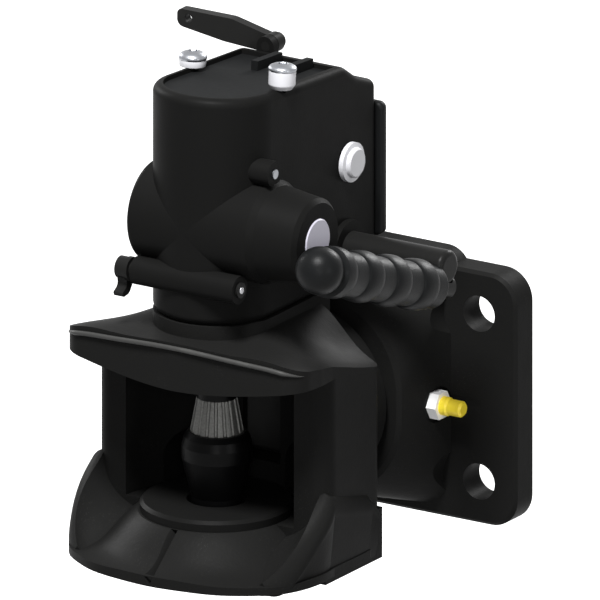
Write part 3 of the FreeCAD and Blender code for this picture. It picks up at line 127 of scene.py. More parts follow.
class Nodes:
    """A material's tree: add() makes any node from its type, settings and socket values."""

    def __init__(self, name):
        self.material = bpy.data.materials.new(name)
        self.material.use_nodes = True
        self.tree = self.material.node_tree
        self.tree.nodes.clear()

    def add(self, kind, settings=None, values=None, output=0):
        node = self.tree.nodes.new(kind)
        for key, value in (settings or {}).items():
            setattr(node, key, value)
        for key, value in (values or {}).items():
            if isinstance(value, Wire):
                self.tree.links.new(value.socket, node.inputs[key])
            elif isinstance(value, bpy.types.NodeSocket):
                self.tree.links.new(value, node.inputs[key])
            else:
                node.inputs[key].default_value = value
        return Wire(self, node.outputs[output]) if node.outputs else None

    def place(self):
        """The point in the object's own coordinates, in metres."""
        return self.add("ShaderNodeTexCoord", output="Object")

    def noise(self, scale, detail=3.0, roughness=0.55):
        """Fractal noise from 0 to 1 with scale features a metre."""
        values = {"Vector": self.place(), "Scale": scale, "Detail": detail, "Roughness": roughness}
        return self.add("ShaderNodeTexNoise", None, values)

    def cells(self, scale):
        """Distance to the nearest of points scattered at scale points a metre, in shares of their spacing."""
        return self.add("ShaderNodeTexVoronoi", None, {"Vector": self.place(), "Scale": scale})

    def tint(self, share, first, second):
        """A colour between two colours or colour sockets, by a share from 0 to 1."""
        node = self.tree.nodes.new("ShaderNodeMix")
        node.data_type = "RGBA"
        for socket, value in ((node.inputs[0], share), (node.inputs[6], first), (node.inputs[7], second)):
            if isinstance(value, Wire):
                self.tree.links.new(value.socket, socket)
            elif isinstance(value, tuple):
                socket.default_value = (*value, 1.0)
            else:
                socket.default_value = value
        return Wire(self, node.outputs[2])

    def relief(self, height, strength, distance):
        """The normal of a surface raised by height times distance, blended in by strength."""
        values = {"Height": height, "Strength": strength, "Distance": distance}
        return self.add("ShaderNodeBump", None, values)

    def finish(self, values):
        """Ends the tree with a Principled surface of these values and gives the material."""
        surface = self.add("ShaderNodeBsdfPrincipled", None, values)
        self.add("ShaderNodeOutputMaterial", None, {"Surface": surface})
        return self.material


def seen_ray(tree):
    """A socket that is 1 for rays that show the surroundings: maximum of camera, glossy and transmission."""
    path = tree.nodes.new("ShaderNodeLightPath")
    last = path.outputs["Is Camera Ray"]
    for ray in ("Is Glossy Ray", "Is Transmission Ray"):
        both = tree.nodes.new("ShaderNodeMath")
        both.operation = "MAXIMUM"
        tree.links.new(last, both.inputs[0])
        tree.links.new(path.outputs[ray], both.inputs[1])
        last = both.outputs[0]
    return last


# Finishes

def cast_paint(name, colour, grain, sparkle, gloss=0.02):
    """Black paint over a sand casting: fine grain, slow waviness and small bright specks.

    Height = 0.35 * fine + slow. Specks step from 0 to 1 as the cell distance falls from 0.16 to 0.06.
    Shine = specks * patches * sparkle mixes the colour towards 7 times itself.
    Roughness = 0.38 + 0.12 * slow + 0.06 * fine."""
    nodes = Nodes(name)
    fine = nodes.noise(900.0, 2.0)
    slow = nodes.noise(70.0, 3.0)
    specks = nodes.cells(1100.0).between(0.16, 0.06)
    patches = nodes.noise(45.0, 2.0).between(0.45, 0.7)
    shine = specks * patches * sparkle
    bright = tuple(min(1.0, 7.0 * c) for c in colour)
    base = nodes.tint(shine, colour, bright)
    height = fine * 0.35 + slow
    return nodes.finish({
        "Base Color": base,
        "Roughness": 0.38 + slow * 0.12 + fine * 0.06,
        "Specular IOR Level": gloss,
        "Normal": nodes.relief(height, grain, 0.0006),
    })


def smooth_paint(name, colour, roughness, gloss=0.05):
    """Black paint on machined steel, with a faint orange peel and thin wear.

    Wear times 0.35 mixes the colour towards 2.2 times itself; roughness rises by 0.08 * peel."""
    nodes = Nodes(name)
    peel = nodes.noise(420.0, 2.0)
    wear = nodes.noise(60.0, 4.0).between(0.55, 0.8)
    base = nodes.tint(wear * 0.35, colour, tuple(2.2 * c for c in colour))
    return nodes.finish({
        "Base Color": base,
        "Roughness": roughness + peel * 0.08,
        "Specular IOR Level": gloss,
        "Normal": nodes.relief(peel, 0.12, 0.0004),
    })


def pin_finish(colour, bright):
    """Dark steel pin whose fluted neck is worn bright.

    Neck = a step up from 3.3 to 3.9 mm of height * (1 - a step up from 19.2 to 19.7 mm).
    Wear = neck * (0.35 + 0.9 * grain), metal = 0.6 * neck, roughness = 0.34 + 0.1 * grain."""
    nodes = Nodes("pin_finish")
    height = nodes.add("ShaderNodeSeparateXYZ", None, {"Vector": nodes.place()}, 2)
    neck = height.between(0.0033, 0.0039) * (1.0 - height.between(0.0192, 0.0197))
    grain = nodes.noise(1100.0, 2.0)
    wear = neck * (0.35 + grain * 0.9)
    return nodes.finish({
        "Base Color": nodes.tint(wear, colour, bright),
        "Metallic": neck * 0.6,
        "Roughness": 0.34 + grain * 0.1,
        "Specular IOR Level": 0.05,
        "Normal": nodes.relief(grain, 0.1, 0.0003),
    })


def plated_steel(name, colour, roughness):
    """Zinc-plated steel with fine grain and slightly cloudy plating.

    Clouds mix the colour towards 0.8 times itself; roughness rises by 0.12 * cloud."""
    nodes = Nodes(name)
    cloud = nodes.noise(160.0, 3.0)
    grain = nodes.noise(1500.0, 2.0)
    base = nodes.tint(cloud.between(0.35, 0.75), colour, tuple(0.8 * c for c in colour))
    return nodes.finish({
        "Base Color": base,
        "Metallic": 1.0,
        "Roughness": roughness + cloud * 0.12,
        "Normal": nodes.relief(grain, 0.08, 0.0002),
    })


def moulding(name, colour, roughness, grain, shine=0.4):
    """Moulded plastic or rubber with a fine skin texture.

    Scuffs times 0.3 mix the colour towards 1.35 times itself.
    Roughness rises by 0.08 * scuff + 0.06 * skin."""
    nodes = Nodes(name)
    skin = nodes.noise(1300.0, 3.0)
    scuff = nodes.noise(85.0, 4.0).between(0.5, 0.8)
    base = nodes.tint(scuff * 0.3, colour, tuple(min(1.0, 1.35 * c) for c in colour))
    return nodes.finish({
        "Base Color": base,
        "Roughness": roughness + scuff * 0.08 + skin * 0.06,
        "Specular IOR Level": shine,
        "Normal": nodes.relief(skin, grain, 0.0003),
    })


def bronze():
    """Bearing bronze that clouds mix from light to dark; roughness = 0.32 + 0.1 * cloud."""
    nodes = Nodes("bearing_bronze")
    cloud = nodes.noise(220.0, 3.0)
    base = nodes.tint(cloud, (0.52, 0.34, 0.15), (0.38, 0.24, 0.11))
    return nodes.finish({"Base Color": base, "Metallic": 1.0, "Roughness": 0.32 + cloud * 0.1})


# Surfaces

def ring_mesh(name, rings, smooth=True):
    """A closed surface through rings of points, each ring joined round, the first and last closed by a pole.

    rings is an array (rows, around, 3); the poles are the means of the end rings."""
    rows, around, _ = rings.shape
    points = np.concatenate([rings.reshape(-1, 3), rings[0].mean(0)[None], rings[-1].mean(0)[None]])
    row, col = np.meshgrid(np.arange(rows - 1), np.arange(around), indexing="ij")
    after = (col + 1) % around
    quads = np.stack([row * around + col, row * around + after,
                      (row + 1) * around + after, (row + 1) * around + col], -1).reshape(-1, 4)
    turn = np.arange(around)
    first = np.full(around, rows * around)
    start = np.stack([first, (turn + 1) % around, turn], -1)
    last = (rows - 1) * around
    end = np.stack([first + 1, last + turn, last + (turn + 1) % around], -1)
    mesh = bpy.data.meshes.new(name)
    mesh.from_pydata(points.tolist(), [], quads.tolist() + start.tolist() + end.tolist())
    mesh.polygons.foreach_set("use_smooth", np.full(len(mesh.polygons), smooth))
    mesh.update()
    piece = bpy.data.objects.new(name, mesh)
    bpy.context.scene.collection.objects.link(piece)
    return piece


def axis_frame(direction):
    """Two unit vectors square to a direction, so that they and it make a right-handed set."""
    along = np.asarray(direction, float)
    along = along / np.linalg.norm(along)
    helper = np.array([0.0, 0.0, 1.0]) if abs(along[2]) < 0.9 else np.array([1.0, 0.0, 0.0])
    first = np.cross(helper, along)
    first = first / np.linalg.norm(first)
    return first, np.cross(along, first), along


def turned_rings(origin, direction, radii, places, around=96):
    """Rings of a turned form: point = origin + place * axis + radius * (cos a * first + sin a * second).

    radii may be one value a row or an array (rows, around) for forms that aren't round."""
    first, second, along = axis_frame(direction)
    angle = np.linspace(0.0, 2.0 * np.pi, around, endpoint=False)
    radii = np.asarray(radii, float)
    radii = radii[:, None] * np.ones(around) if radii.ndim == 1 else radii
    out = np.cos(angle)[:, None] * first + np.sin(angle)[:, None] * second
    return np.asarray(origin, float) + np.asarray(places)[:, None, None] * along + radii[:, :, None] * out


def swept_rings(path, out, radii, around):
    """Rings of a round wire: point = path + radius * (cos a * out + sin a * (along x out)).

    out is a unit vector square to the path at each of its points."""
    along = np.gradient(path, axis=0)
    along /= np.linalg.norm(along, axis=1)[:, None]
    second = np.cross(along, out)
    angle = np.linspace(0.0, 2.0 * np.pi, around, endpoint=False)[:, None]
    turned = np.cos(angle) * out[:, None, :] + np.sin(angle) * second[:, None, :]
    return path[:, None, :] + np.asarray(radii)[:, None, None] * turned


def softened(points, radius, steps=4):
    """A profile of (place, radius) points with every inner corner rounded.

    Round a corner, point = (1 - s)^2 * start + 2 s (1 - s) * corner + s^2 * end, for s from 0 to 1."""
    points = np.asarray(points, float)
    out = [points[0]]
    for before, corner, after in zip(points, points[1:], points[2:]):
        back, ahead = before - corner, after - corner
        near = min(radius, np.linalg.norm(back) / 2.01, np.linalg.norm(ahead) / 2.01)
        start = corner + back / np.linalg.norm(back) * near
        end = corner + ahead / np.linalg.norm(ahead) * near
        share = np.linspace(0.0, 1.0, steps + 1)[:, None]
        out.extend((1 - share) ** 2 * start + 2 * share * (1 - share) * corner + share ** 2 * end)
    out.append(points[-1])
    out = np.array(out)
    return out[:, 0], out[:, 1]


def hexagon_radii(apothem, around):
    """Distance to a hexagon's edge for each angle of a ring: apothem / cos(angle modulo 60 - 30 degrees)."""
    angle = np.linspace(0.0, 360.0, around, endpoint=False)
    return apothem / np.cos(np.radians(angle % 60.0 - 30.0))


def on_lid_plane(x, along):
    """A point on the housing's top: hinge + x + along * the direction that falls to the rear."""
    back = np.array([0.0, math.cos(LID_PLANE_TILT), -math.sin(LID_PLANE_TILT)])
    return LID_PLANE_HINGE + np.array([x, 0.0, 0.0]) + back * along


# Sizes and colours a user may change

class GripSizes(bpy.types.PropertyGroup):
    """Sizes and colour of the hand lever's grip"""
    ribs: bpy.props.IntProperty(name="Ribs", description="Number of ribs behind the ball", default=4)
    rib_radius: bpy.props.FloatProperty(
        name="Rib radius", description="Radius at a rib", default=12.0 * MM, unit="LENGTH")
    ball_radius: bpy.props.FloatProperty(
        name="Ball radius", description="Radius of the ball at the grip's end", default=11.1 * MM,
        unit="LENGTH")
    waist_radius: bpy.props.FloatProperty(
        name="Waist radius", description="Radius between two ribs", default=10.4 * MM, unit="LENGTH")
    pitch: bpy.props.FloatProperty(
        name="Rib pitch", description="Distance from rib to rib", default=24.6 * MM, unit="LENGTH")
    reach: bpy.props.FloatProperty(
        name="Reach", description="Distance of the ball's centre from the lever's shaft", default=105.4 * MM,
        unit="LENGTH")
    side: bpy.props.FloatProperty(
        name="Side", description="Distance of the grip's axis from the coupling's middle", default=80.0 * MM,
        unit="LENGTH")
    drop: bpy.props.FloatProperty(
        name="Drop", description="Distance of the grip's axis below the lever's shaft", default=10.0 * MM,
        unit="LENGTH")
    tilt: bpy.props.FloatProperty(
        name="Tilt", description="Rise of the lever towards the front", default=math.radians(20.0),
        subtype="ANGLE")
    colour: bpy.props.FloatVectorProperty(
        name="Colour", description="Colour of the grip", default=(0.0045, 0.0048, 0.005), subtype="COLOR")


class FastenerSizes(bpy.types.PropertyGroup):
    """Sizes of the lid's screws and the grease cap's colour"""
    head_radius: bpy.props.FloatProperty(
        name="Head radius", description="Radius of a cover screw's head", default=6.5 * MM, unit="LENGTH")
    socket_radius: bpy.props.FloatProperty(
        name="Socket radius", description="Radius inside the hexagon socket", default=2.1 * MM, unit="LENGTH")
    cap_colour: bpy.props.FloatVectorProperty(
        name="Grease cap colour", description="Colour of the cap on the nipple", default=(0.95, 0.73, 0.045),
        subtype="COLOR")


class SpringSizes(bpy.types.PropertyGroup):
    """Sizes of the closing spring"""
    coils: bpy.props.IntProperty(name="Coils", description="Turns of the closing spring", default=8)
    coil_radius: bpy.props.FloatProperty(
        name="Coil radius", description="Radius of the wire's middle line", default=11.0 * MM, unit="LENGTH")
    wire_radius: bpy.props.FloatProperty(
        name="Wire radius", description="Radius of the round wire", default=1.6 * MM, unit="LENGTH")
    foot: bpy.props.FloatProperty(
        name="Foot", description="Height where the spring rests on the pin", default=61.2 * MM, unit="LENGTH")
    top: bpy.props.FloatProperty(
        name="Top", description="Height of the spring's seat", default=156.8 * MM, unit="LENGTH")
    keep: bpy.props.FloatProperty(
        name="Keep", description="Share of the spring's length that is left with the pin lifted",
        default=0.35)


class PaintSettings(bpy.types.PropertyGroup):
    """Colours and grain of the black paints"""
    casting: bpy.props.FloatVectorProperty(
        name="Casting colour", description="Paint on the castings", default=(0.0074, 0.0074, 0.0072),
        subtype="COLOR")
    covers: bpy.props.FloatVectorProperty(
        name="Cover colour", description="Paint on the covers", default=(0.0055, 0.0058, 0.006),
        subtype="COLOR")
    grain: bpy.props.FloatProperty(
        name="Cast grain", description="Strength of the cast surface's relief", default=0.35)


class StageSettings(bpy.types.PropertyGroup):
    """Camera and floor"""
    azimuth: bpy.props.FloatProperty(
        name="Azimuth", description="Camera's turn to the right of the front", default=math.radians(32.3),
        subtype="ANGLE")
    elevation: bpy.props.FloatProperty(
        name="Elevation", description="Camera's height angle", default=math.radians(18.4), subtype="ANGLE")
    width: bpy.props.FloatProperty(
        name="View width", description="Width of the camera's view", default=271.5 * MM, unit="LENGTH")
    shift_right: bpy.props.FloatProperty(
        name="Aim to the right", description="Distance of the picture's middle right of the pin",
        default=37.6 * MM, unit="LENGTH")
    shift_up: bpy.props.FloatProperty(
        name="Aim up", description="Distance of the picture's middle above the pin's foot",
        default=62.0 * MM, unit="LENGTH")
    floor_gap: bpy.props.FloatProperty(
        name="Floor gap", description="Distance of the floor below the flange, which lets the jaw turn round",
        default=130.0 * MM, unit="LENGTH")


# Operators

class COUPLING_OT_finishes(bpy.types.Operator):
    """Gives each solid of the coupling its paint, plating or moulded finish"""
    bl_idname = "coupling.finishes"
    bl_label = "Paint and plate the solids"

    def execute(self, context):
        paint = context.scene.coupling_paint
        fastener = context.scene.coupling_fasteners
        casting = cast_paint("casting_paint", tuple(paint.casting), paint.grain, 0.8)
        tower = cast_paint("tower_paint", tuple(0.7 * c for c in paint.casting), paint.grain * 0.5, 0.1)
        covers = smooth_paint("cover_paint", tuple(paint.covers), 0.42)
        rods = smooth_paint("rod_paint", tuple(paint.casting), 0.30)
        pin = pin_finish((0.0012, 0.0012, 0.0013), (0.11, 0.11, 0.105))
        lid = smooth_paint("lid_paint", (0.0052, 0.0055, 0.0057), 0.6, 0.03)
        # Paint about four times lighter than the casting paint, for the visor's bead: a painted highlight
        # along the visor's top edge
        smooth_paint("bead_painted_highlight", (0.03, 0.03, 0.029), 0.4, 0.12)
        zinc = plated_steel("zinc_plate", (0.50, 0.50, 0.52), 0.38)
        dark_zinc = plated_steel("dark_zinc_plate", (0.28, 0.29, 0.31), 0.30)
        steel = plated_steel("plain_steel", (0.38, 0.38, 0.39), 0.34)
        pale = moulding("pale_moulding", (0.36, 0.35, 0.41), 0.30, 0.05)
        white = moulding("white_plating", (0.42, 0.42, 0.44), 0.28, 0.03)
        fitting = moulding("fitting_plating", (0.95, 0.95, 0.95), 0.28, 0.03)
        grip = moulding("grip_moulding", tuple(context.scene.coupling_grip.colour), 0.34, 0.3, 0.06)
        yellow = moulding("yellow_cap", tuple(fastener.cap_colour), 0.32, 0.04)
        rubber = moulding("seal_rubber", (0.012, 0.012, 0.012), 0.5, 0.1)
        orange = moulding("orange_plug", (0.35, 0.10, 0.02), 0.45, 0.05)
        finishes = {
            casting: ["flange_plate", "jaw_body"],
            tower: ["mechanism_housing", "plunger_housing", "wear_plate"],
            covers: ["rear_cover"],
            lid: ["top_cover"],
            rods: ["rear_cover_screws", "hold_rod", "hand_lever_shaft", "hand_lever_rod", "remote_lever",
                   "remote_pivot_pin", "trigger_paddle"],
            pin: ["coupling_pin"],
            zinc: ["castle_nut", "cotter_pin"],
            white: ["cover_screw_right", "catch_cap"],
            fitting: ["grease_fitting"],
            dark_zinc: ["cover_screw_left", "boss_pin"],
            steel: ["thrust_washer", "disc_spring", "lower_bush", "upper_bush", "closing_spring",
                    "spring_seat", "lifting_crank", "crank_cross_pin", "catch_shaft", "trigger_pin"],
            pale: ["lock_plunger"],
            grip: ["lever_grip"],
            yellow: ["grease_cap"],
            rubber: ["neck_seal"],
            orange: ["indicator_plug"],
            bronze(): ["swivel_bush"],
        }
        for material, names in finishes.items():
            for name in names:
                node = NODES[name]
                node.data.materials.clear()
                node.data.materials.append(material)
        missing = [name for name, node in NODES.items() if not node.data.materials]
        if missing:
            raise RuntimeError(f"no finish for {missing}")
        return {"FINISHED"}


class COUPLING_OT_grip(bpy.types.Operator):
    """Makes the ribbed moulded grip of the hand lever"""
    bl_idname = "coupling.grip"
    bl_label = "Ribbed grip"

    def execute(self, context):
        sizes = context.scene.coupling_grip
        forward = np.array([0.0, -math.cos(sizes.tilt), math.sin(sizes.tilt)])
        under = np.array([0.0, -math.sin(sizes.tilt), -math.cos(sizes.tilt)])
        origin = np.array([sizes.side, LEVER_SHAFT.y, LEVER_SHAFT.z]) + under * sizes.drop
        places, radii = self.profile(sizes)
        piece = ring_mesh("ribbed_grip", turned_rings(origin, forward, radii, places))
        piece.data.materials.append(bpy.data.materials["grip_moulding"])
        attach(piece, "hand_lever")
        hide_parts("lever_grip")
        return {"FINISHED"}

    def profile(self, sizes):
        """Places along the lever and radii: a rounded heel, a waist with ribs, and the ball.

        A rib's radius = waist + (rib - waist) * (1 - |distance from its peak / flank| ^ 2.4) ^ 0.6,
        with a long flank towards the ball and a short one behind."""
        heel = 7.5 * MM
        heel_round = 1.5 * MM
        ball_gap = 11.6 * MM
        ball_overlap = 7.0 * MM
        flank_ahead, flank_behind = 8.5 * MM, 4.5 * MM
        along = np.linspace(heel, sizes.reach - ball_overlap, 420)
        body = np.full(len(along), sizes.waist_radius)
        for rib in range(sizes.ribs):
            peak = sizes.reach - ball_gap - rib * sizes.pitch
            flank = np.where(along > peak, flank_ahead, flank_behind)
            share = np.clip(1.0 - np.abs((along - peak) / flank) ** 2.4, 0.0, 1.0) ** 0.6
            body = np.maximum(body, sizes.waist_radius + (sizes.rib_radius - sizes.waist_radius) * share)
        turn = np.linspace(math.acos(-ball_overlap / sizes.ball_radius), 0.0, 40)
        ball_along = sizes.reach + sizes.ball_radius * np.cos(turn)
        ball = sizes.ball_radius * np.maximum(np.sin(turn), 0.002)
        edge = np.linspace(0.0, np.pi / 2, 9)[:-1]
        heel_along = heel - heel_round * np.cos(edge)
        heel_radius = sizes.waist_radius - heel_round + heel_round * np.sin(edge)
        return np.concatenate([heel_along, along, ball_along]), np.concatenate([heel_radius, body, ball])


class COUPLING_OT_screws(bpy.types.Operator):
    """Makes the domed screws of the lid, with their hexagon sockets and spacers"""
    bl_idname = "coupling.screws"
    bl_label = "Lid screws"

    def execute(self, context):
        sizes = context.scene.coupling_fasteners
        for side, row in SCREWS.items():
            up = np.array([0.0, math.sin(LID_PLANE_TILT), math.cos(LID_PLANE_TILT)])
            origin = on_lid_plane(row["x"] * MM, row["along"] * MM)
            lift = row["lift"] * MM
            places, radii = self.spacer_profile(lift, row["foot"] * MM)
            spacer = ring_mesh(f"screw_spacer_{side}", turned_rings(origin, up, radii, places))
            spacer.data.materials.append(bpy.data.materials["white_plating"])
            places, radii = self.head_profile(sizes, lift, row["dome"] * MM)
            head = ring_mesh(f"socket_screw_{side}", turned_rings(origin, up, radii, places))
            head.data.materials.append(bpy.data.materials["dark_zinc_plate"])
            for piece in (spacer, head):
                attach(piece, "jaw")
                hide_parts(f"cover_screw_{side}")
        return {"FINISHED"}

    def spacer_profile(self, lift, foot):
        """Heights and radii of a spacer that cones out from its foot to its rim."""
        rim = 6.2 * MM
        sunk = 0.2 * MM
        return softened([(-sunk, 0.4 * MM), (-sunk, foot), (min(2.0 * MM, lift / 2), rim), (lift, rim),
                         (lift, 3.0 * MM), (lift - 0.1 * MM, 0.3 * MM)], 0.35 * MM)

    def head_profile(self, sizes, lift, height):
        """Heights and radii of a domed head, then of the hexagon socket down to its floor.

        Above the edge the dome is height = edge + (top - edge) * sin a / sin 76, radius = head * cos a."""
        around = 96
        edge = 0.9 * MM
        head = sizes.head_radius
        bend = np.linspace(0.0, 1.0, 18)[:-1] * math.radians(74.0)
        dome_height = lift + edge + (height - edge) * np.sin(bend) / math.sin(math.radians(76.0))
        dome = list(zip(dome_height, head * np.cos(bend)))
        foot = [(lift - 0.1 * MM, 0.4 * MM), (lift, head - 0.2 * MM), (lift + 0.5 * MM, head)]
        places, radii = softened(foot + dome, 0.15 * MM, 2)
        mouth = hexagon_radii(sizes.socket_radius, around)
        shares = np.array([1.12, 1.03, 1.0, 1.0, 0.9, 0.3])
        depths = np.array([-0.25, -0.35, -0.55, -2.2, -2.35, -2.5]) * MM
        rows = np.concatenate([radii[:, None] * np.ones(around), shares[:, None] * mouth])
        return np.concatenate([places, lift + height + depths]), rows


class COUPLING_OT_edges(bpy.types.Operator):
    """Makes the visor's bead, the wide rear plate and the dimple in the cross rod's end"""
    bl_idname = "coupling.edges"
    bl_label = "Bead, rear plate and dimple"

    def execute(self, context):
        # The bead gets the lighter paint, a painted highlight along the visor's edge
        bead = self.dress("visor_bead", self.bead_rings(), "bead_painted_highlight", "jaw")
        plate = self.dress("rear_plate", self.plate_rings(), "cover_paint", "jaw")
        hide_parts("rear_cover")
        dimple = np.array([(-0.4, 0.2), (-0.4, 1.6), (0.3, 1.6), (0.35, 0.1)]) * MM
        places, radii = softened(dimple, 0.2 * MM)
        rings = turned_rings(ROD_END, (1.0, 0.0, 0.0), radii, places, 48)
        self.dress("rod_end_dimple", rings, "zinc_plate", "rod")
        return {"FINISHED"}

    def dress(self, name, rings, finish, body):
        """Makes a piece from rings, gives it a finish and lets it ride on a body."""
        piece = ring_mesh(name, rings)
        piece.data.materials.append(bpy.data.materials[finish])
        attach(piece, body)
        return piece

    def bead_rings(self):
        """Round bead a little under the visor's top edge, with round corners and tapered ends.

        The front is y = nose + bow * (hypot(x, ease) - ease), scaled to reach the bow at the visor's side,
        and the height is a cubic in x squared, fitted to four heights of the visor's edge in millimetres."""
        half_width, nose, bow, corner, ease = 63.5 * MM, -162.0 * MM, 5.0 * MM, 12.0 * MM, 20.0 * MM
        radius, drop, taper = 1.1 * MM, 3.0, 10.0
        x = np.linspace(-1.0, 1.0, 121) * (half_width - corner)
        y = nose + bow * (np.hypot(x, ease) - ease) / (math.hypot(half_width, ease) - ease)
        turn = np.linspace(0.0, math.radians(70.0), 14)[1:]
        end_x = half_width - corner + corner * np.sin(turn)
        end_y = y[-1] + corner * (1.0 - np.cos(turn))
        x = np.concatenate([-end_x[::-1], x, end_x])
        y = np.concatenate([end_y[::-1], y, end_y])
        fall = np.polyfit(np.array([0.0, 30.0, 46.0, 70.0]) ** 2, [55.7, 54.2, 53.2, 45.8], 3)
        z = (np.polyval(fall, (x / MM) ** 2) - drop) * MM
        path = np.stack([x, y, z], 1)
        along = np.gradient(path, axis=0)
        along /= np.linalg.norm(along, axis=1)[:, None]
        out = np.cross(along, [0.0, 0.0, 1.0])
        out /= np.linalg.norm(out, axis=1)[:, None]
        place = np.arange(len(x))
        ends = np.minimum(1.0, 0.05 + np.minimum(place, place[::-1]) / taper)
        return swept_rings(path, out, radius * ends, 24)

    def plate_rings(self):
        """Rounded rectangle, sign * (half size - corner) + corner * (cos a, sin a), drawn in at its edges."""
        half, low, high = 31.0 * MM, 76.0 * MM, 139.0 * MM
        rear_y = -35.0 * MM
        corner = 3.0 * MM
        around = 96
        angle = np.linspace(0.0, 2.0 * np.pi, around, endpoint=False) + np.pi / around
        centre = np.array([0.0, rear_y, (low + high) / 2])
        size = np.array([half, (high - low) / 2])
        side = np.stack([np.cos(angle), np.sin(angle)], 1)
        outline = np.sign(side) * (size - corner) + corner * side
        rings = []
        for depth, inset in ((0.3, 1.2), (0.3, 0.0), (4.4, 0.0), (4.8, 0.3), (5.0, 0.9), (5.0, 6.0)):
            flat = outline * (1.0 - inset * MM / size)
            rings.append(np.stack([flat[:, 0], np.full(around, depth * MM), flat[:, 1]], 1) + centre)
        return np.array(rings)[:, ::-1]


class COUPLING_OT_spring(bpy.types.Operator):
    """Winds the round-wire closing spring"""
    bl_idname = "coupling.spring"
    bl_label = "Closing spring"

    def execute(self, context):
        sizes = context.scene.coupling_spring
        path, out = self.helix(sizes)
        radii = np.full(len(path), sizes.wire_radius)
        piece = ring_mesh("coil_spring", swept_rings(path, out, radii, 14))
        piece.data.materials.append(bpy.data.materials["plain_steel"])
        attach(piece, "jaw")
        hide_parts("closing_spring")
        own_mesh(piece)
        return {"FINISHED"}

    def helix(self, sizes):
        """Middle line of the wire, centre + coil radius * (cos a, sin a), with end coils nearly closed."""
        low = sizes.foot + sizes.wire_radius
        high = sizes.top - sizes.wire_radius
        turns = np.linspace(0.0, 1.0, sizes.coils * 40 + 1)
        angle = 2.0 * np.pi * sizes.coils * turns
        out = np.stack([np.cos(angle), np.sin(angle), np.zeros(len(angle))], 1)
        path = out * sizes.coil_radius + np.array([0.0, PIN_AXIS.y, 0.0])
        ends = 2.3 * sizes.wire_radius / (high - low)
        coils = [0.0, 1.0, sizes.coils - 1.0, sizes.coils]
        rise = np.interp(turns * sizes.coils, coils, [0.0, ends, 1.0 - ends, 1.0])
        path[:, 2] = low + (high - low) * rise
        return path, out


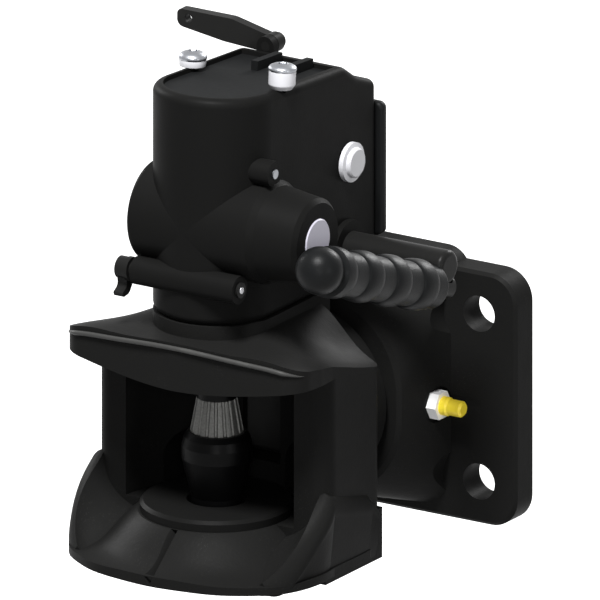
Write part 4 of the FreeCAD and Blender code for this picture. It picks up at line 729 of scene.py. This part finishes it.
class COUPLING_OT_stage(bpy.types.Operator):
    """Builds the floor, the soft studio lights, the white surroundings and the camera"""
    bl_idname = "coupling.stage"
    bl_label = "Studio stage"

    def execute(self, context):
        stage = context.scene.coupling_stage
        low, _ = CAD_BOX
        self.floor(low[2] - stage.floor_gap)
        self.world(context.scene)
        for lamp in LAMPS:
            self.lamp(*lamp)
        self.camera(context.scene, stage)
        context.scene.view_settings.view_transform = "Standard"
        return {"FINISHED"}

    def floor(self, height):
        """A large square under the coupling: pale and glowing where it is seen, grey where it only lights."""
        nodes = Nodes("pale_floor")
        grey = nodes.add("ShaderNodeBsdfDiffuse", None, {"Color": (0.25, 0.25, 0.25, 1.0)})
        pale = nodes.add("ShaderNodeBsdfDiffuse", None, {"Color": (0.45, 0.45, 0.45, 1.0)})
        white = nodes.add("ShaderNodeEmission", None, {"Color": (1.0, 1.0, 1.0, 1.0), "Strength": 0.8})
        both = nodes.add("ShaderNodeAddShader", None, {0: pale, 1: white})
        mixed = nodes.add("ShaderNodeMixShader", None, {0: seen_ray(nodes.tree), 1: grey, 2: both})
        nodes.add("ShaderNodeOutputMaterial", None, {"Surface": mixed})
        quarters = ((-1, -1), (1, -1), (1, 1), (-1, 1))
        corners = [(x * FLOOR_REACH, y * FLOOR_REACH, height) for x, y in quarters]
        mesh = bpy.data.meshes.new("floor")
        mesh.from_pydata(corners, [], [(0, 1, 2, 3)])
        mesh.materials.append(nodes.material)
        floor = bpy.data.objects.new("floor", mesh)
        bpy.context.scene.collection.objects.link(floor)

    def world(self, scene):
        """White surroundings: strength 1 where they are seen, and only a faint fill where they light."""
        world = bpy.data.worlds.new("studio_surroundings")
        world.use_nodes = True
        scene.world = world
        tree = world.node_tree
        tree.nodes.clear()
        strength = tree.nodes.new("ShaderNodeMapRange")
        strength.inputs["To Min"].default_value = FILL_STRENGTH
        strength.inputs["To Max"].default_value = 1.0
        tree.links.new(seen_ray(tree), strength.inputs["Value"])
        background = tree.nodes.new("ShaderNodeBackground")
        background.inputs["Color"].default_value = (1.0, 1.0, 1.0, 1.0)
        tree.links.new(strength.outputs[0], background.inputs["Strength"])
        output = tree.nodes.new("ShaderNodeOutputWorld")
        tree.links.new(background.outputs[0], output.inputs["Surface"])

    def lamp(self, name, place, size, power):
        """A round area lamp that faces the pin."""
        light = bpy.data.lights.new(name, "AREA")
        light.shape = "DISK"
        light.size = size
        light.energy = power
        lamp = bpy.data.objects.new(name, light)
        lamp.location = place
        aim = PIN_AXIS - Vector(place)
        lamp.rotation_euler = aim.to_track_quat("-Z", "Y").to_euler()
        bpy.context.scene.collection.objects.link(lamp)

    def camera(self, scene, stage):
        """A parallel view at the photograph's angles: middle = pin's foot + right * shift + up * shift."""
        turn = stage.azimuth
        lift = stage.elevation
        right = Vector((math.cos(turn), math.sin(turn), 0.0))
        back = Vector((math.sin(turn) * math.cos(lift), -math.cos(turn) * math.cos(lift), math.sin(lift)))
        up = back.cross(right)
        target = PIN_AXIS + right * stage.shift_right + up * stage.shift_up
        data = bpy.data.cameras.new("photo_camera")
        data.type = "ORTHO"
        data.ortho_scale = stage.width
        data.clip_start = 0.01
        camera = bpy.data.objects.new("photo_camera", data)
        camera.location = target + back * CAMERA_DISTANCE
        camera.rotation_euler = (-back).to_track_quat("-Z", "Y").to_euler()
        scene.collection.objects.link(camera)
        scene.camera = camera


class COUPLING_PT_panel(bpy.types.Panel):
    """Sidebar panel with a button for each operator"""
    bl_label = "Tow Coupling"
    bl_idname = "COUPLING_PT_panel"
    bl_space_type = "VIEW_3D"
    bl_region_type = "UI"
    bl_category = "Tow Coupling"

    def draw(self, context):
        for operator in OPERATORS:
            self.layout.operator(operator.bl_idname)


SETTINGS = {
    "coupling_grip": GripSizes,
    "coupling_fasteners": FastenerSizes,
    "coupling_spring": SpringSizes,
    "coupling_paint": PaintSettings,
    "coupling_stage": StageSettings,
}
OPERATORS = [
    COUPLING_OT_finishes, COUPLING_OT_grip, COUPLING_OT_screws, COUPLING_OT_edges, COUPLING_OT_spring,
    COUPLING_OT_stage,
]


def register():
    for name, group in SETTINGS.items():
        bpy.utils.register_class(group)
        setattr(bpy.types.Scene, name, bpy.props.PointerProperty(type=group))
    for operator in OPERATORS:
        bpy.utils.register_class(operator)
    bpy.utils.register_class(COUPLING_PT_panel)


def unregister():
    bpy.utils.unregister_class(COUPLING_PT_panel)
    for operator in reversed(OPERATORS):
        bpy.utils.unregister_class(operator)
    for name, group in reversed(SETTINGS.items()):
        delattr(bpy.types.Scene, name)
        bpy.utils.unregister_class(group)


def main():
    register()
    bpy.ops.coupling.finishes()
    bpy.ops.coupling.grip()
    bpy.ops.coupling.screws()
    bpy.ops.coupling.edges()
    bpy.ops.coupling.spring()
    bpy.ops.coupling.stage()


if __name__ == "__main__":
    main()
